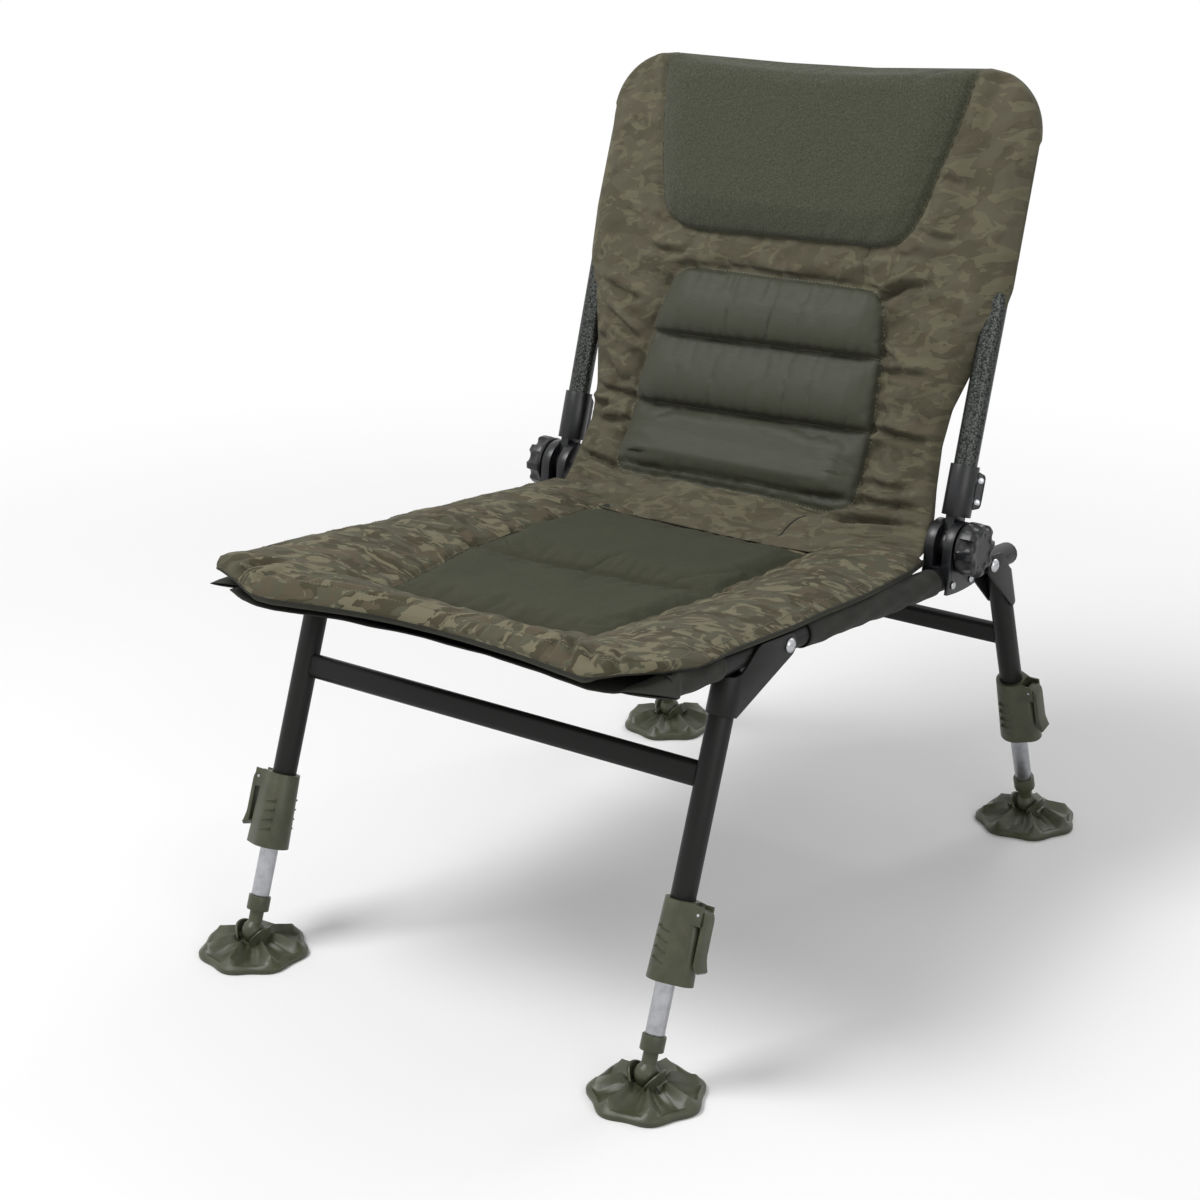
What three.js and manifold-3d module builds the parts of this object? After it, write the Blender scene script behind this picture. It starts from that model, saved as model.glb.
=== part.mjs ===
// Folding carp fishing chair with a recliner, two folding leg frames and four adjustable legs.
// Millimetres and degrees. X is across the chair, +Y towards its back, +Z up, ground at Z = 0.
import * as THREE from 'three';
import { mergeVertices } from 'three/addons/utils/BufferGeometryUtils.js';
import Module from 'manifold-3d';

const wasm = await Module();
wasm.setup();

// Stance and frame lines
const footReach = 381;
const railSpread = 252;
const ballHeight = 24;
const frontBoltReach = 167;
const frontBoltHeight = 391;
const seatTilt = 4.95;
const boltSpacing = 411;
const hingeAlong = 336;
const hingeRise = 34;
const backLean = 17.5;
const frontBoltOffset = 73.38;
const rearBoltOffset = 29.93;

// Clearances
const seatGap = 0.3;
const swingGap = 0.6;
const overrun = 20;
const flatness = 0.002;

// Tubes
const tubeRadius = 12.5;
const tubeWall = 1.5;
const innerLegRadius = 9.5;
const innerLegWall = 1.2;
const tubeSegments = 8;
const pinSegments = 5;
const fineSteps = 6;

// Seat rails and their end caps
const railFront = 191;
const railRear = 467;
const capPlug = 14;
const capDome = 9;

// Bolts
const boltRadius = 4;
const boltHeadRadius = 8;
const boltHeadHeight = 3.6;
const nutRadius = 7;
const nutHeight = 6;

// Leg brackets, folded from sheet
const bracketSheet = 2.5;
const frontBracketDrop = 73.45;
const rearBracketDrop = 72.07;
const bossRadius = 11.8;
const bracketShoulder = 9;

// Crossbars
const crossbarTall = 25;
const crossbarDeep = 14;
const crossbarRound = 6;
const crossbarWall = 1.5;
const frontCrossbarUp = 286;
const rearCrossbarUp = 241;

// Lock collars and levers
const collarLength = 78;
const frontCollarBottom = 91;
const rearCollarBottom = 103;
const collarRadius = 19.5;
const collarReach = 29;
const collarNose = 12;
const collarTopShare = 0.86;
const collarSeatDepth = 46;
const gripRidges = 4;
const gripRidgeHeight = 1.2;
const gripRidgeWidth = 2;
const gripRidgeLength = 13;
const gripRidgePitch = 10;
const gripRidgeSlant = 14;
const leverWidth = 15;
const leverThickness = 4.5;
const leverLength = 54;
const leverCurl = 6;
const leverKnuckle = 5.2;
const leverPinInset = 9;
const leverPinReach = 25.5;
const leverPinRadius = 1.7;

// Inner legs and their ball ends
const frontInnerTop = 300;
const rearInnerTop = 280;
const ringBottom = 22.5;
const ringTop = 38;
const ringRadius = 11.8;
const neckRadius = 7.4;
const ballRadius = 12.4;
const ballCavity = 13.7;
const plugLength = 18;

// Mud feet
const footRadius = 57;
const footLobes = 7;
const footNotch = 5;
const footRim = 4.5;
const footShell = 3.5;
const footRise = 10;
const ridgeHeight = 6;
const cupRadius = 17.5;
const cupFloor = 8;
const cupTop = 31;
const cupSlot = 17;
const bossOut = 15;
const screwBossRadius = 6;
const screwHeadRadius = 3.4;
const screwHeadHeight = 3;
const screwRadius = 1.8;
const screwLength = 15;
const screwDrop = 10;

// Recliner hinge
const cheekRadius = 27;
const baseHalfLength = 30;
const baseWidth = 32.6;
const tongueWidth = 10.4;
const tongueRadius = 18;
const socketStart = 31;
const socketLength = 54;
const socketRadius = 15.6;
const flangeReach = 26;
const flangeWidth = 9;
const flangeInset = 6;
const rivetRadius = 4.2;
const rivetHeight = 1.4;
const rivetPitch = 39;
const flangeRivetPitch = 22;
const pinHeadHeight = 3.5;
const pinIntoKnob = 12;
const knobRadius = 29;
const knobDepth = 21;
const knobLobes = 10;
const knobScallop = 3.6;
const knobEdge = 4;
const knobDish = 1.5;

// Back frame hoop
const hoopTop = 466;
const hoopCorner = 68;
const cornerSteps = 4;

// Seat cushion
const padOverhang = 15;
const padFront = 240;
const padCornerCut = 34;
const padFrontSetback = 40;
const padRear = 300;
const padEdgeTop = 23.6;
const padRestHeight = 13.3;
const padRestWidth = 57;
const padThickness = 24;
const padSagFront = 24;
const padSagRear = 7;
const padCrown = 7;
const padPuff = 3;
const padRound = 22;
const padSeamAlong = 48;
const padSeamDepth = 4;
const padSeamWidth = 14;
const padPanelHalfWidth = 136;
const padPanelFront = 122;
const padPanelRear = 245;

// Carrying cloth under the cushion, with a sleeve round each rail
const clothThickness = 2;
const frontSleeveFrom = 226;
const frontSleeveTo = 108;
const rearSleeveFrom = 40;
const rearSleeveTo = 296;
const clothInset = 11.7;
const clothDrop = 5;

// Back cushion cover
const coverBottom = 60;
const coverTop = 486;
const coverOverhang = 17;
const coverCorner = 72;
const waistGap = 6.7;
const waistTop = 100;
const shoulderBottom = 252;
const sleeveSlack = 3.3;
const borderFront = 14;
const borderRear = 6;
const lumbarHalfWidth = 154;
const lumbarBottom = 14;
const lumbarTop = 250;
const lumbarBulge = 14;
const lumbarChannels = 3;
const headBottom = 288;
const headBulge = 12;
const headHalfWidth = 190;
const headTaper = 40;
const coverRound = 19;
const coverSetback = 4;

// Fold of the cover at the seat: it starts in the crease on the cushion and rises to the back
const creaseInset = 2;
const creaseSetback = 56;
const kneeAhead = 20;
const kneeDrop = 8;

const radians = THREE.MathUtils.degToRad;
const smooth = THREE.MathUtils.smoothstep;
const lerp = THREE.MathUtils.lerp;
const clamp = THREE.MathUtils.clamp;
const boreRadius = tubeRadius + seatGap;
const bracketRadius = boreRadius + bracketSheet;
const sleeveRadius = boreRadius + clothThickness;
const sleeveHalf = tubeRadius + sleeveSlack;
const padHalfWidth = railSpread + padOverhang;
const clothHalfWidth = railSpread - bracketRadius - clothInset;
const coverHalfWidth = railSpread + coverOverhang;
const waistHalfWidth = railSpread - baseWidth / 2 - waistGap;

// Finishes
const finish = (color, roughness, metalness = 0) => (
  new THREE.MeshStandardMaterial({ color, roughness, metalness })
);
const framePaint = finish(0x2f332f, 0.6, 0.2);
const backPaint = finish(0x4a4d4d, 0.45, 0.6);
const blackPlastic = finish(0x1d1e20, 0.5);
const olivePlastic = finish(0x4a4b3a, 0.5);
const bareAluminium = finish(0xb9bbbd, 0.35, 1);
const zincSteel = finish(0xa9abad, 0.3, 1);
const camoCloth = finish(0x5d5646, 0.9);
const darkCloth = finish(0x34352b, 0.9);

// Solids in and out of the joining library
function toSolid(geometry) {
  const bare = geometry.clone();
  for (const name of Object.keys(bare.attributes)) {
    if (name !== 'position') bare.deleteAttribute(name);
  }
  const welded = mergeVertices(bare);
  return new wasm.Manifold(new wasm.Mesh({
    numProp: 3,
    vertProperties: new Float32Array(welded.attributes.position.array),
    triVerts: new Uint32Array(welded.index.array),
  }));
}

function toGeometry(solid) {
  const mesh = solid.asOriginal().simplify(flatness).getMesh();
  const geometry = new THREE.BufferGeometry();
  geometry.setAttribute('position', new THREE.BufferAttribute(Float32Array.from(mesh.vertProperties), 3));
  geometry.setIndex(new THREE.BufferAttribute(Uint32Array.from(mesh.triVerts), 1));
  return geometry;
}

function join(...geometries) {
  return toGeometry(geometries.map(toSolid).reduce((whole, piece) => whole.add(piece)));
}

function cut(geometry, ...cutters) {
  const start = toSolid(geometry);
  return toGeometry(cutters.map(toSolid).reduce((whole, cutter) => whole.subtract(cutter), start));
}

function common(first, second) {
  return toGeometry(toSolid(first).intersect(toSolid(second)));
}

// The same solid on the other side of the middle plane, with its faces turned back outwards
function mirrored(geometry) {
  const copy = geometry.index ? geometry.toNonIndexed() : geometry.clone();
  for (const name of Object.keys(copy.attributes)) {
    if (name !== 'position') copy.deleteAttribute(name);
  }
  copy.scale(-1, 1, 1);
  const place = copy.attributes.position;
  for (let corner = 0; corner < place.count; corner += 3) {
    const first = new THREE.Vector3().fromBufferAttribute(place, corner);
    const second = new THREE.Vector3().fromBufferAttribute(place, corner + 1);
    place.setXYZ(corner, second.x, second.y, second.z);
    place.setXYZ(corner + 1, first.x, first.y, first.z);
  }
  return mergeVertices(copy);
}

// Basic forms: an outline pushed along Z, and the same pushed along X with the outline in Y and Z
function pushed(shape, depth, segments = tubeSegments) {
  return new THREE.ExtrudeGeometry(shape, { depth, bevelEnabled: false, curveSegments: segments });
}

function pushedAcross(shape, width, segments = tubeSegments) {
  const geometry = pushed(shape, width, segments);
  geometry.translate(0, 0, -width / 2);
  geometry.rotateY(Math.PI / 2);
  geometry.rotateX(Math.PI / 2);
  return geometry;
}

function disc(radius) {
  return new THREE.Shape().absarc(0, 0, radius, 0, 2 * Math.PI);
}

function rod(radius, length, segments = tubeSegments) {
  return pushed(disc(radius), length, segments);
}

function rodAcross(radius, length, segments = tubeSegments) {
  return rod(radius, length, segments).translate(0, 0, -length / 2).rotateY(Math.PI / 2);
}

function rodAlong(radius, from, to, segments = tubeSegments) {
  return rod(radius, to - from, segments).rotateX(-Math.PI / 2).translate(0, from, 0);
}

function tube(radius, wall, length) {
  const shape = disc(radius);
  shape.holes.push(disc(radius - wall));
  return pushed(shape, length);
}

function turned(points, segments = 2 * tubeSegments) {
  const profile = points.map(([radius, height]) => new THREE.Vector2(radius, height));
  return new THREE.LatheGeometry(profile, segments).rotateX(Math.PI / 2);
}

function block(lowX, highX, lowY, highY, lowZ, highZ) {
  const geometry = new THREE.BoxGeometry(highX - lowX, highY - lowY, highZ - lowZ);
  return geometry.translate((lowX + highX) / 2, (lowY + highY) / 2, (lowZ + highZ) / 2);
}

function roundedRectangle(width, height, radius) {
  const right = width / 2;
  const top = height / 2;
  const shape = new THREE.Shape();
  shape.absarc(right - radius, top - radius, radius, 0, Math.PI / 2);
  shape.absarc(radius - right, top - radius, radius, Math.PI / 2, Math.PI);
  shape.absarc(radius - right, radius - top, radius, Math.PI, 1.5 * Math.PI);
  shape.absarc(right - radius, radius - top, radius, 1.5 * Math.PI, 2 * Math.PI);
  return shape;
}

// Seat rail, a tube along Y with cross holes for the two leg bolts
function seatRail() {
  const body = tube(tubeRadius, tubeWall, railFront + railRear);
  body.rotateX(-Math.PI / 2).translate(0, -railFront, 0);
  const hole = rodAcross(boltRadius + seatGap, 4 * tubeRadius, pinSegments);
  return cut(body, hole, hole.clone().translate(0, boltSpacing, 0));
}

// Domed cap pressed into the rail's rear end
function railCap() {
  const plugRadius = tubeRadius - tubeWall - seatGap;
  const domeShares = [[1, 0], [0.97, 0.35], [0.8, 0.75], [0.45, 0.96], [0, 1]];
  const dome = domeShares.map(([across, up]) => [across * tubeRadius, up * capDome]);
  const geometry = turned([[0, -capPlug], [plugRadius, -capPlug], [plugRadius, 0], ...dome]);
  return geometry.rotateX(-Math.PI / 2).translate(0, railRear + seatGap, 0);
}

// Pivot bolt across a rail, with a domed head outside and a nut inside
function pivotBolt() {
  const flangeFace = bracketRadius + seatGap;
  const geometry = turned([
    [0, -flangeFace - nutHeight - boltRadius / 2],
    [boltRadius, -flangeFace - nutHeight - boltRadius / 2],
    [boltRadius, -flangeFace - nutHeight],
    [nutRadius, -flangeFace - nutHeight],
    [nutRadius, -flangeFace],
    [boltRadius, -flangeFace],
    [boltRadius, flangeFace],
    [boltHeadRadius, flangeFace],
    [boltHeadRadius - boltHeadHeight / 4, flangeFace + boltHeadHeight / 2],
    [boltHeadRadius / 2, flangeFace + boltHeadHeight],
    [0, flangeFace + boltHeadHeight],
  ], 2 * pinSegments);
  return geometry.rotateY(Math.PI / 2);
}

// A leg frame's own axes: Z up the leg from its ball, Y square to it towards the back
function legFrame(kind) {
  const tilt = radians(seatTilt);
  const along = kind.boltAlong;
  const boltY = -frontBoltReach + along * Math.cos(tilt);
  const boltZ = frontBoltHeight - along * Math.sin(tilt);
  const dy = boltY + footReach * kind.ahead;
  const dz = boltZ - ballHeight;
  // The leg leans so far that the bolt stands off its axis by the bolt's offset
  const across = kind.boltOffset * kind.ahead;
  const lean = Math.atan2(dy, dz) - Math.asin(across / Math.hypot(dy, dz));
  const bolt = { across, up: dy * Math.sin(lean) + dz * Math.cos(lean) };
  const bracketBottom = bolt.up - kind.bracketDrop;
  // The rail's direction seen from the leg, and where the rail's lower side crosses the leg's axis
  const turn = lean - tilt;
  const railSlope = Math.tan(turn);
  const railBottom = bolt.up - bolt.across * railSlope - (tubeRadius + seatGap) / Math.cos(turn);
  return { ...kind, lean, turn, bolt, bracketBottom, railSlope, railBottom };
}

const frontLeg = legFrame({
  name: 'front', ahead: 1, boltOffset: frontBoltOffset, boltAlong: 0, bracketDrop: frontBracketDrop,
  crossbarUp: frontCrossbarUp, collarBottom: frontCollarBottom, innerTop: frontInnerTop,
});
const rearLeg = legFrame({
  name: 'rear', ahead: -1, boltOffset: rearBoltOffset, boltAlong: boltSpacing, bracketDrop: rearBracketDrop,
  crossbarUp: rearCrossbarUp, collarBottom: rearCollarBottom, innerTop: rearInnerTop,
});

// Everything above the rail's lower side, as a cutter in the leg's axes
function railSideCutter(leg) {
  const size = leg.innerTop;
  const cutter = block(-size / 2, size / 2, -size, size, 0, size);
  return cutter.rotateX(leg.turn).translate(0, 0, leg.railBottom);
}

// Outer leg tube, cut along the rail at its top end
function legTube(leg) {
  const bottom = leg.collarBottom + collarLength - collarSeatDepth;
  const body = tube(tubeRadius, tubeWall, leg.railBottom + overrun - bottom).translate(0, 0, bottom);
  return cut(body, railSideCutter(leg));
}

// Leg bracket: a sheet channel wrapped round the leg's top, its flanges reaching past the rail to the bolt
function legBracket(leg) {
  const toBolt = leg.ahead;
  const outer = bracketRadius;
  const inner = boreRadius;
  const reach = Math.abs(leg.bolt.across) + bossRadius + overrun;

  const plan = (radius, ahead) => {
    const shape = new THREE.Shape();
    shape.absarc(0, 0, radius, Math.PI, 2 * Math.PI);
    shape.lineTo(radius, ahead);
    shape.lineTo(-radius, ahead);
    return shape;
  };
  const height = leg.bolt.up + 2 * bossRadius;
  const hollow = pushed(plan(inner, reach + overrun), height + 2 * overrun).translate(0, 0, -overrun);
  const channel = cut(pushed(plan(outer, reach), height), hollow);

  // Side outline, with Y towards the bolt
  const boltAcross = leg.bolt.across * toBolt;
  const slope = leg.railSlope * toBolt;
  const railSide = (across) => leg.railBottom + across * slope;
  const square = Math.hypot(1, slope);
  const lowCorner = tubeRadius / 4;
  const lowReach = { across: boltAcross - lowCorner, up: leg.bolt.up - leg.bracketBottom };
  const lowDistance = Math.hypot(lowReach.across, lowReach.up);
  const lowHeading = Math.atan2(lowReach.up, lowReach.across) - Math.asin(bossRadius / lowDistance);
  const lowAngle = lowHeading - Math.PI / 2;
  const topAngle = Math.atan2(1, -slope);
  const side = new THREE.Shape();
  side.moveTo(-outer, leg.bracketBottom);
  side.lineTo(lowCorner, leg.bracketBottom);
  side.absarc(boltAcross, leg.bolt.up, bossRadius, lowAngle, topAngle, false);
  const topEdge = (across) => leg.bolt.up + (across - boltAcross) * slope + bossRadius * square;
  const crest = boltAcross / 4 + bracketShoulder / 2;
  side.lineTo(crest, topEdge(crest));
  side.bezierCurveTo(
    crest - bracketShoulder, topEdge(crest - bracketShoulder),
    bracketShoulder / 3, railSide(0),
    -bracketShoulder, railSide(-bracketShoulder),
  );
  side.lineTo(-outer, railSide(-outer));
  const outline = pushedAcross(side, 2 * outer + overrun, pinSegments);
  const hole = rodAcross(boltRadius + seatGap, 4 * outer, pinSegments).translate(0, boltAcross, leg.bolt.up);
  const bracket = cut(common(channel, outline), hole);
  return toBolt > 0 ? bracket : mirrored(bracket).rotateZ(Math.PI);
}

// Flat-sided oval bar between the two legs of a frame, shaped to them at its ends
function crossbar() {
  const shape = roundedRectangle(crossbarTall, crossbarDeep, crossbarRound);
  shape.holes.push(roundedRectangle(
    crossbarTall - 2 * crossbarWall, crossbarDeep - 2 * crossbarWall, crossbarRound - crossbarWall,
  ));
  const bar = pushed(shape, 2 * railSpread, pinSegments / 2);
  bar.translate(0, 0, -railSpread).rotateY(Math.PI / 2);
  const leg = rod(boreRadius, 3 * crossbarTall).translate(railSpread, 0, -1.5 * crossbarTall);
  return cut(bar, leg, leg.clone().translate(-2 * railSpread, 0, 0));
}

// Lock collar: a tapered housing round the leg, with a nose on its outer side that holds the lever
function lockCollar() {
  const outline = new THREE.Shape();
  const noseAngle = Math.acos((collarRadius - collarNose) / (collarReach - collarNose));
  outline.absarc(0, 0, collarRadius, noseAngle, 2 * Math.PI - noseAngle);
  outline.absarc(collarReach - collarNose, 0, collarNose, -noseAngle, noseAngle);
  const housing = pushed(outline, collarLength, tubeSegments);
  const place = housing.attributes.position;
  for (let corner = 0; corner < place.count; corner += 1) {
    const share = lerp(1, collarTopShare, place.getZ(corner) / collarLength);
    place.setX(corner, place.getX(corner) * share);
    place.setY(corner, place.getY(corner) * share);
  }
  const ridges = [];
  for (const face of [-1, 1]) {
    for (let row = 0; row < gripRidges; row += 1) {
      const up = collarLength / 4 + row * gripRidgePitch;
      const out = collarRadius * lerp(1, collarTopShare, up / collarLength);
      const wedge = new THREE.Shape();
      wedge.moveTo(-gripRidgeWidth, -2 * gripRidgeHeight);
      wedge.lineTo(gripRidgeWidth, -2 * gripRidgeHeight);
      wedge.lineTo(0, gripRidgeHeight);
      const ridge = pushed(wedge, gripRidgeLength).translate(0, 0, -gripRidgeLength / 2);
      ridge.rotateY(Math.PI / 2).rotateZ(face > 0 ? 0 : Math.PI);
      ridge.rotateY(radians(gripRidgeSlant)).translate(-tubeRadius / 4, face * out, up);
      ridges.push(ridge);
    }
  }
  const tubeBore = rod(boreRadius, collarLength).translate(0, 0, collarLength - collarSeatDepth);
  const legBore = rod(innerLegRadius + seatGap, collarLength + 2 * overrun).translate(0, 0, -overrun);
  const recessHeight = collarLength - leverPinInset - 2 * leverKnuckle;
  const recess = block(
    boreRadius + bracketSheet, collarReach + overrun,
    -leverWidth / 2 - swingGap, leverWidth / 2 + swingGap,
    recessHeight, collarLength + overrun,
  );
  const pinHole = rodAlong(leverPinRadius + seatGap, -collarRadius, collarRadius, pinSegments);
  pinHole.translate(leverPinReach, 0, collarLength - leverPinInset);
  const ears = block(
    boreRadius + bracketSheet, leverPinReach + leverKnuckle - swingGap,
    -leverWidth / 2 - bracketSheet, leverWidth / 2 + bracketSheet,
    recessHeight, collarLength - swingGap,
  );
  return cut(join(housing, ears, ...ridges), tubeBore, legBore, recess, pinHole);
}

// Cam lever: a knuckle round its pin, a long grip down the collar's nose and a curled tip
function lockLever() {
  const faceBottom = collarReach + swingGap - leverPinReach;
  const grip = new THREE.Shape();
  grip.moveTo(0, leverKnuckle);
  grip.absarc(0, 0, leverKnuckle, Math.PI / 2, 1.25 * Math.PI, false);
  grip.lineTo(faceBottom, -2.4 * leverKnuckle);
  grip.lineTo(faceBottom, -leverLength + leverCurl);
  grip.lineTo(faceBottom + leverCurl, -leverLength);
  grip.lineTo(faceBottom + leverCurl + leverThickness / 2, -leverLength + leverThickness / 2);
  grip.quadraticCurveTo(
    faceBottom + leverThickness, -leverLength + 2 * leverCurl,
    faceBottom + leverThickness, -leverLength + 3 * leverCurl,
  );
  grip.lineTo(faceBottom + leverThickness, -leverKnuckle);
  grip.quadraticCurveTo(faceBottom + leverThickness, leverKnuckle, 0, leverKnuckle);
  const body = pushed(grip, leverWidth, pinSegments).translate(0, 0, -leverWidth / 2).rotateX(Math.PI / 2);
  return cut(body, rodAlong(leverPinRadius + seatGap, -leverWidth, leverWidth, pinSegments));
}

function leverPin() {
  const half = leverWidth / 2 + bracketSheet;
  return rodAlong(leverPinRadius, -half, half, pinSegments);
}

function innerLeg(leg) {
  const bottom = ringTop + seatGap;
  return tube(innerLegRadius, innerLegWall, leg.innerTop - bottom).translate(0, 0, bottom);
}

// Ball end: plug in the leg, ring under the leg's end, neck and ball
function ballEnd() {
  const plugRadius = innerLegRadius - innerLegWall - seatGap;
  const points = [];
  const steps = fineSteps;
  const neckAngle = Math.asin(neckRadius / ballRadius);
  for (let step = 0; step <= steps; step += 1) {
    const angle = lerp(Math.PI, neckAngle, step / steps);
    points.push([step === 0 ? 0 : ballRadius * Math.sin(angle), ballRadius * Math.cos(angle)]);
  }
  return turned([
    ...points,
    [neckRadius, ringBottom],
    [ringRadius, ringBottom],
    [ringRadius, ringTop],
    [plugRadius, ringTop],
    [plugRadius, ringTop + plugLength],
    [0, ringTop + plugLength],
  ], 2 * fineSteps);
}

// Mud foot: a lobed, ridged shell with a split cup for the ball; its middle is the ball's middle
function mudFoot() {
  const around = 2 * footLobes;
  const ringShares = [0.3, 0.62, 0.82, 1];
  const ridgeShares = [0, 1, 0.7, 0];
  const crest = (share) => footRim + footRise * (1 - smooth(share, ringShares[0], 1));
  const top = [];
  const bottom = [];
  ringShares.forEach((share, ring) => {
    for (let step = 0; step < around; step += 1) {
      const angle = step * Math.PI / footLobes;
      const lobe = step % 2 === 0 ? 1 : 0;
      const radius = (footRadius - (1 - lobe) * footNotch) * share;
      const height = crest(share) + lobe * ridgeHeight * ridgeShares[ring];
      top.push([radius * Math.cos(angle), radius * Math.sin(angle), height]);
      const under = ring === ringShares.length - 1 || ring === 0 ? 0 : height - footShell;
      bottom.push([radius * Math.cos(angle), radius * Math.sin(angle), Math.max(under, 0)]);
    }
  });
  const rings = ringShares.length;
  const positions = [...top, ...bottom, [0, 0, crest(0)], [0, 0, 0]].flat();
  const faces = [];
  const at = (ring, step) => ring * around + step % around;
  for (let step = 0; step < around; step += 1) {
    for (let ring = 0; ring + 1 < rings; ring += 1) {
      faces.push(at(ring, step), at(ring + 1, step), at(ring + 1, step + 1));
      faces.push(at(ring, step), at(ring + 1, step + 1), at(ring, step + 1));
      faces.push(at(rings + ring, step), at(rings + ring + 1, step + 1), at(rings + ring + 1, step));
      faces.push(at(rings + ring, step), at(rings + ring, step + 1), at(rings + ring + 1, step + 1));
    }
    faces.push(at(rings - 1, step), at(2 * rings - 1, step), at(2 * rings - 1, step + 1));
    faces.push(at(rings - 1, step), at(2 * rings - 1, step + 1), at(rings - 1, step + 1));
    faces.push(2 * rings * around, at(0, step), at(0, step + 1));
    faces.push(2 * rings * around + 1, at(rings, step + 1), at(rings, step));
  }
  const shell = new THREE.BufferGeometry();
  shell.setAttribute('position', new THREE.Float32BufferAttribute(positions, 3));
  shell.setIndex(faces);

  const cup = rod(cupRadius, cupTop - footRim, fineSteps).translate(0, 0, footRim);
  const half = screwLength / 2;
  const boss = rodAlong(screwBossRadius, -half, half, pinSegments);
  boss.translate(bossOut, 0, ballHeight - screwDrop);
  const ball = turned(ballArc(ballCavity), 2 * fineSteps).translate(0, 0, ballHeight);
  const slot = block(-cupSlot / 2, cupSlot / 2, -cupRadius - overrun, cupRadius + overrun,
    cupFloor + footShell, cupTop + overrun);
  const tunnel = rodAlong(screwRadius + seatGap, -2 * overrun, 2 * overrun, pinSegments);
  const counterbore = rodAlong(screwHeadRadius + seatGap, -2 * overrun, screwHeadHeight - half, pinSegments);
  for (const drill of [tunnel, counterbore]) {
    drill.translate(bossOut + screwBossRadius / 4, 0, ballHeight - screwDrop);
  }
  return cut(join(shell, cup, boss), ball, slot, tunnel, counterbore).translate(0, 0, -ballHeight);
}

function ballArc(radius) {
  const steps = fineSteps;
  const points = [];
  for (let step = 0; step <= steps; step += 1) {
    const angle = Math.PI * (1 - step / steps);
    const across = step === 0 || step === steps ? 0 : radius * Math.sin(angle);
    points.push([across, radius * Math.cos(angle)]);
  }
  return points;
}

// Clamp screw of a foot's cup, its head sunk in the boss
function cupScrew() {
  const geometry = turned([
    [0, 0],
    [screwHeadRadius, 0],
    [screwHeadRadius, screwHeadHeight - seatGap],
    [screwRadius, screwHeadHeight - seatGap],
    [screwRadius, screwLength],
    [0, screwLength],
  ], 2 * pinSegments);
  geometry.rotateX(-Math.PI / 2).translate(bossOut + screwBossRadius / 4, -screwLength / 2, -screwDrop);
  return geometry;
}

// Recliner hinge base: a saddle over the rail with two cheeks round the arm's tongue
function hingeBase() {
  const side = new THREE.Shape();
  side.moveTo(-baseHalfLength, -tubeRadius);
  side.quadraticCurveTo(0, -tubeRadius - bracketSheet, baseHalfLength, -tubeRadius + bracketSheet);
  side.lineTo(cheekRadius, hingeRise - tubeRadius);
  side.absarc(0, hingeRise, cheekRadius, 0, Math.PI);
  side.lineTo(-cheekRadius, hingeRise - tubeRadius);
  const body = pushedAcross(side, baseWidth);
  const rail = rodAlong(boreRadius, -2 * baseHalfLength, 2 * baseHalfLength);
  const under = block(-boreRadius, boreRadius, -2 * baseHalfLength, 2 * baseHalfLength, -2 * tubeRadius, 0);
  const half = tongueWidth / 2 + seatGap;
  const floor = hingeRise - tongueRadius - swingGap;
  const ceiling = hingeRise + 2 * cheekRadius;
  const slot = block(-half, half, -2 * baseHalfLength, 2 * baseHalfLength, floor, ceiling);
  const pinHole = rodAcross(boltRadius + seatGap, 2 * baseWidth, pinSegments).translate(0, 0, hingeRise);
  const rivets = [];
  for (const end of [-1, 1]) {
    const head = rodAcross(rivetRadius, baseWidth + 2 * rivetHeight, pinSegments);
    rivets.push(cut(
      head.translate(0, end * rivetPitch / 2, -tubeRadius / 4),
      block(-baseWidth / 2 + swingGap, baseWidth / 2 - swingGap, -2 * baseHalfLength, 2 * baseHalfLength,
        -2 * tubeRadius, 2 * tubeRadius),
    ));
  }
  return cut(join(body, ...rivets), rail, under, slot, pinHole);
}

// Recliner arm: tongue on the pin, socket round the back tube and a riveted flange behind it
function hingeArm() {
  const tongue = rodAcross(tongueRadius, tongueWidth);
  const half = tongueWidth / 2;
  const neck = block(-half, half, -tubeRadius, tubeRadius, 0, socketStart + bracketSheet);
  const socket = rod(socketRadius, socketLength).translate(0, 0, socketStart);
  const lip = new THREE.Shape();
  const low = socketStart + flangeInset;
  const high = socketStart + socketLength - flangeInset / 2;
  lip.moveTo(0, low - flangeInset / 2);
  lip.lineTo(flangeReach - flangeInset, low);
  lip.lineTo(flangeReach, low + 1.5 * flangeInset);
  lip.lineTo(flangeReach, high - flangeInset);
  lip.lineTo(flangeReach - flangeInset, high);
  lip.lineTo(0, high);
  const flange = pushedAcross(lip, flangeWidth);
  const rivets = [-1, 1].map((end) => (
    rodAcross(rivetRadius * 0.8, flangeWidth + 2 * rivetHeight, pinSegments)
      .translate(0, flangeReach - flangeInset, (low + high) / 2 + end * flangeRivetPitch / 2)
  ));
  const bore = rod(boreRadius, socketLength + overrun).translate(0, 0, socketStart + bracketSheet);
  const pinHole = rodAcross(boltRadius + seatGap, 2 * baseWidth, pinSegments);
  return cut(join(tongue, neck, socket, flange, ...rivets), bore, pinHole);
}

// Pin through both cheeks and the tongue, its head inside and its thread in the knob
function hingePin() {
  const inside = -baseWidth / 2 - rivetHeight;
  const outside = baseWidth / 2 + swingGap + pinIntoKnob;
  return turned([
    [0, inside - pinHeadHeight],
    [nutRadius, inside - pinHeadHeight],
    [nutRadius, inside],
    [boltRadius, inside],
    [boltRadius, outside],
    [0, outside],
  ], 2 * pinSegments).rotateY(Math.PI / 2);
}

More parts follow.
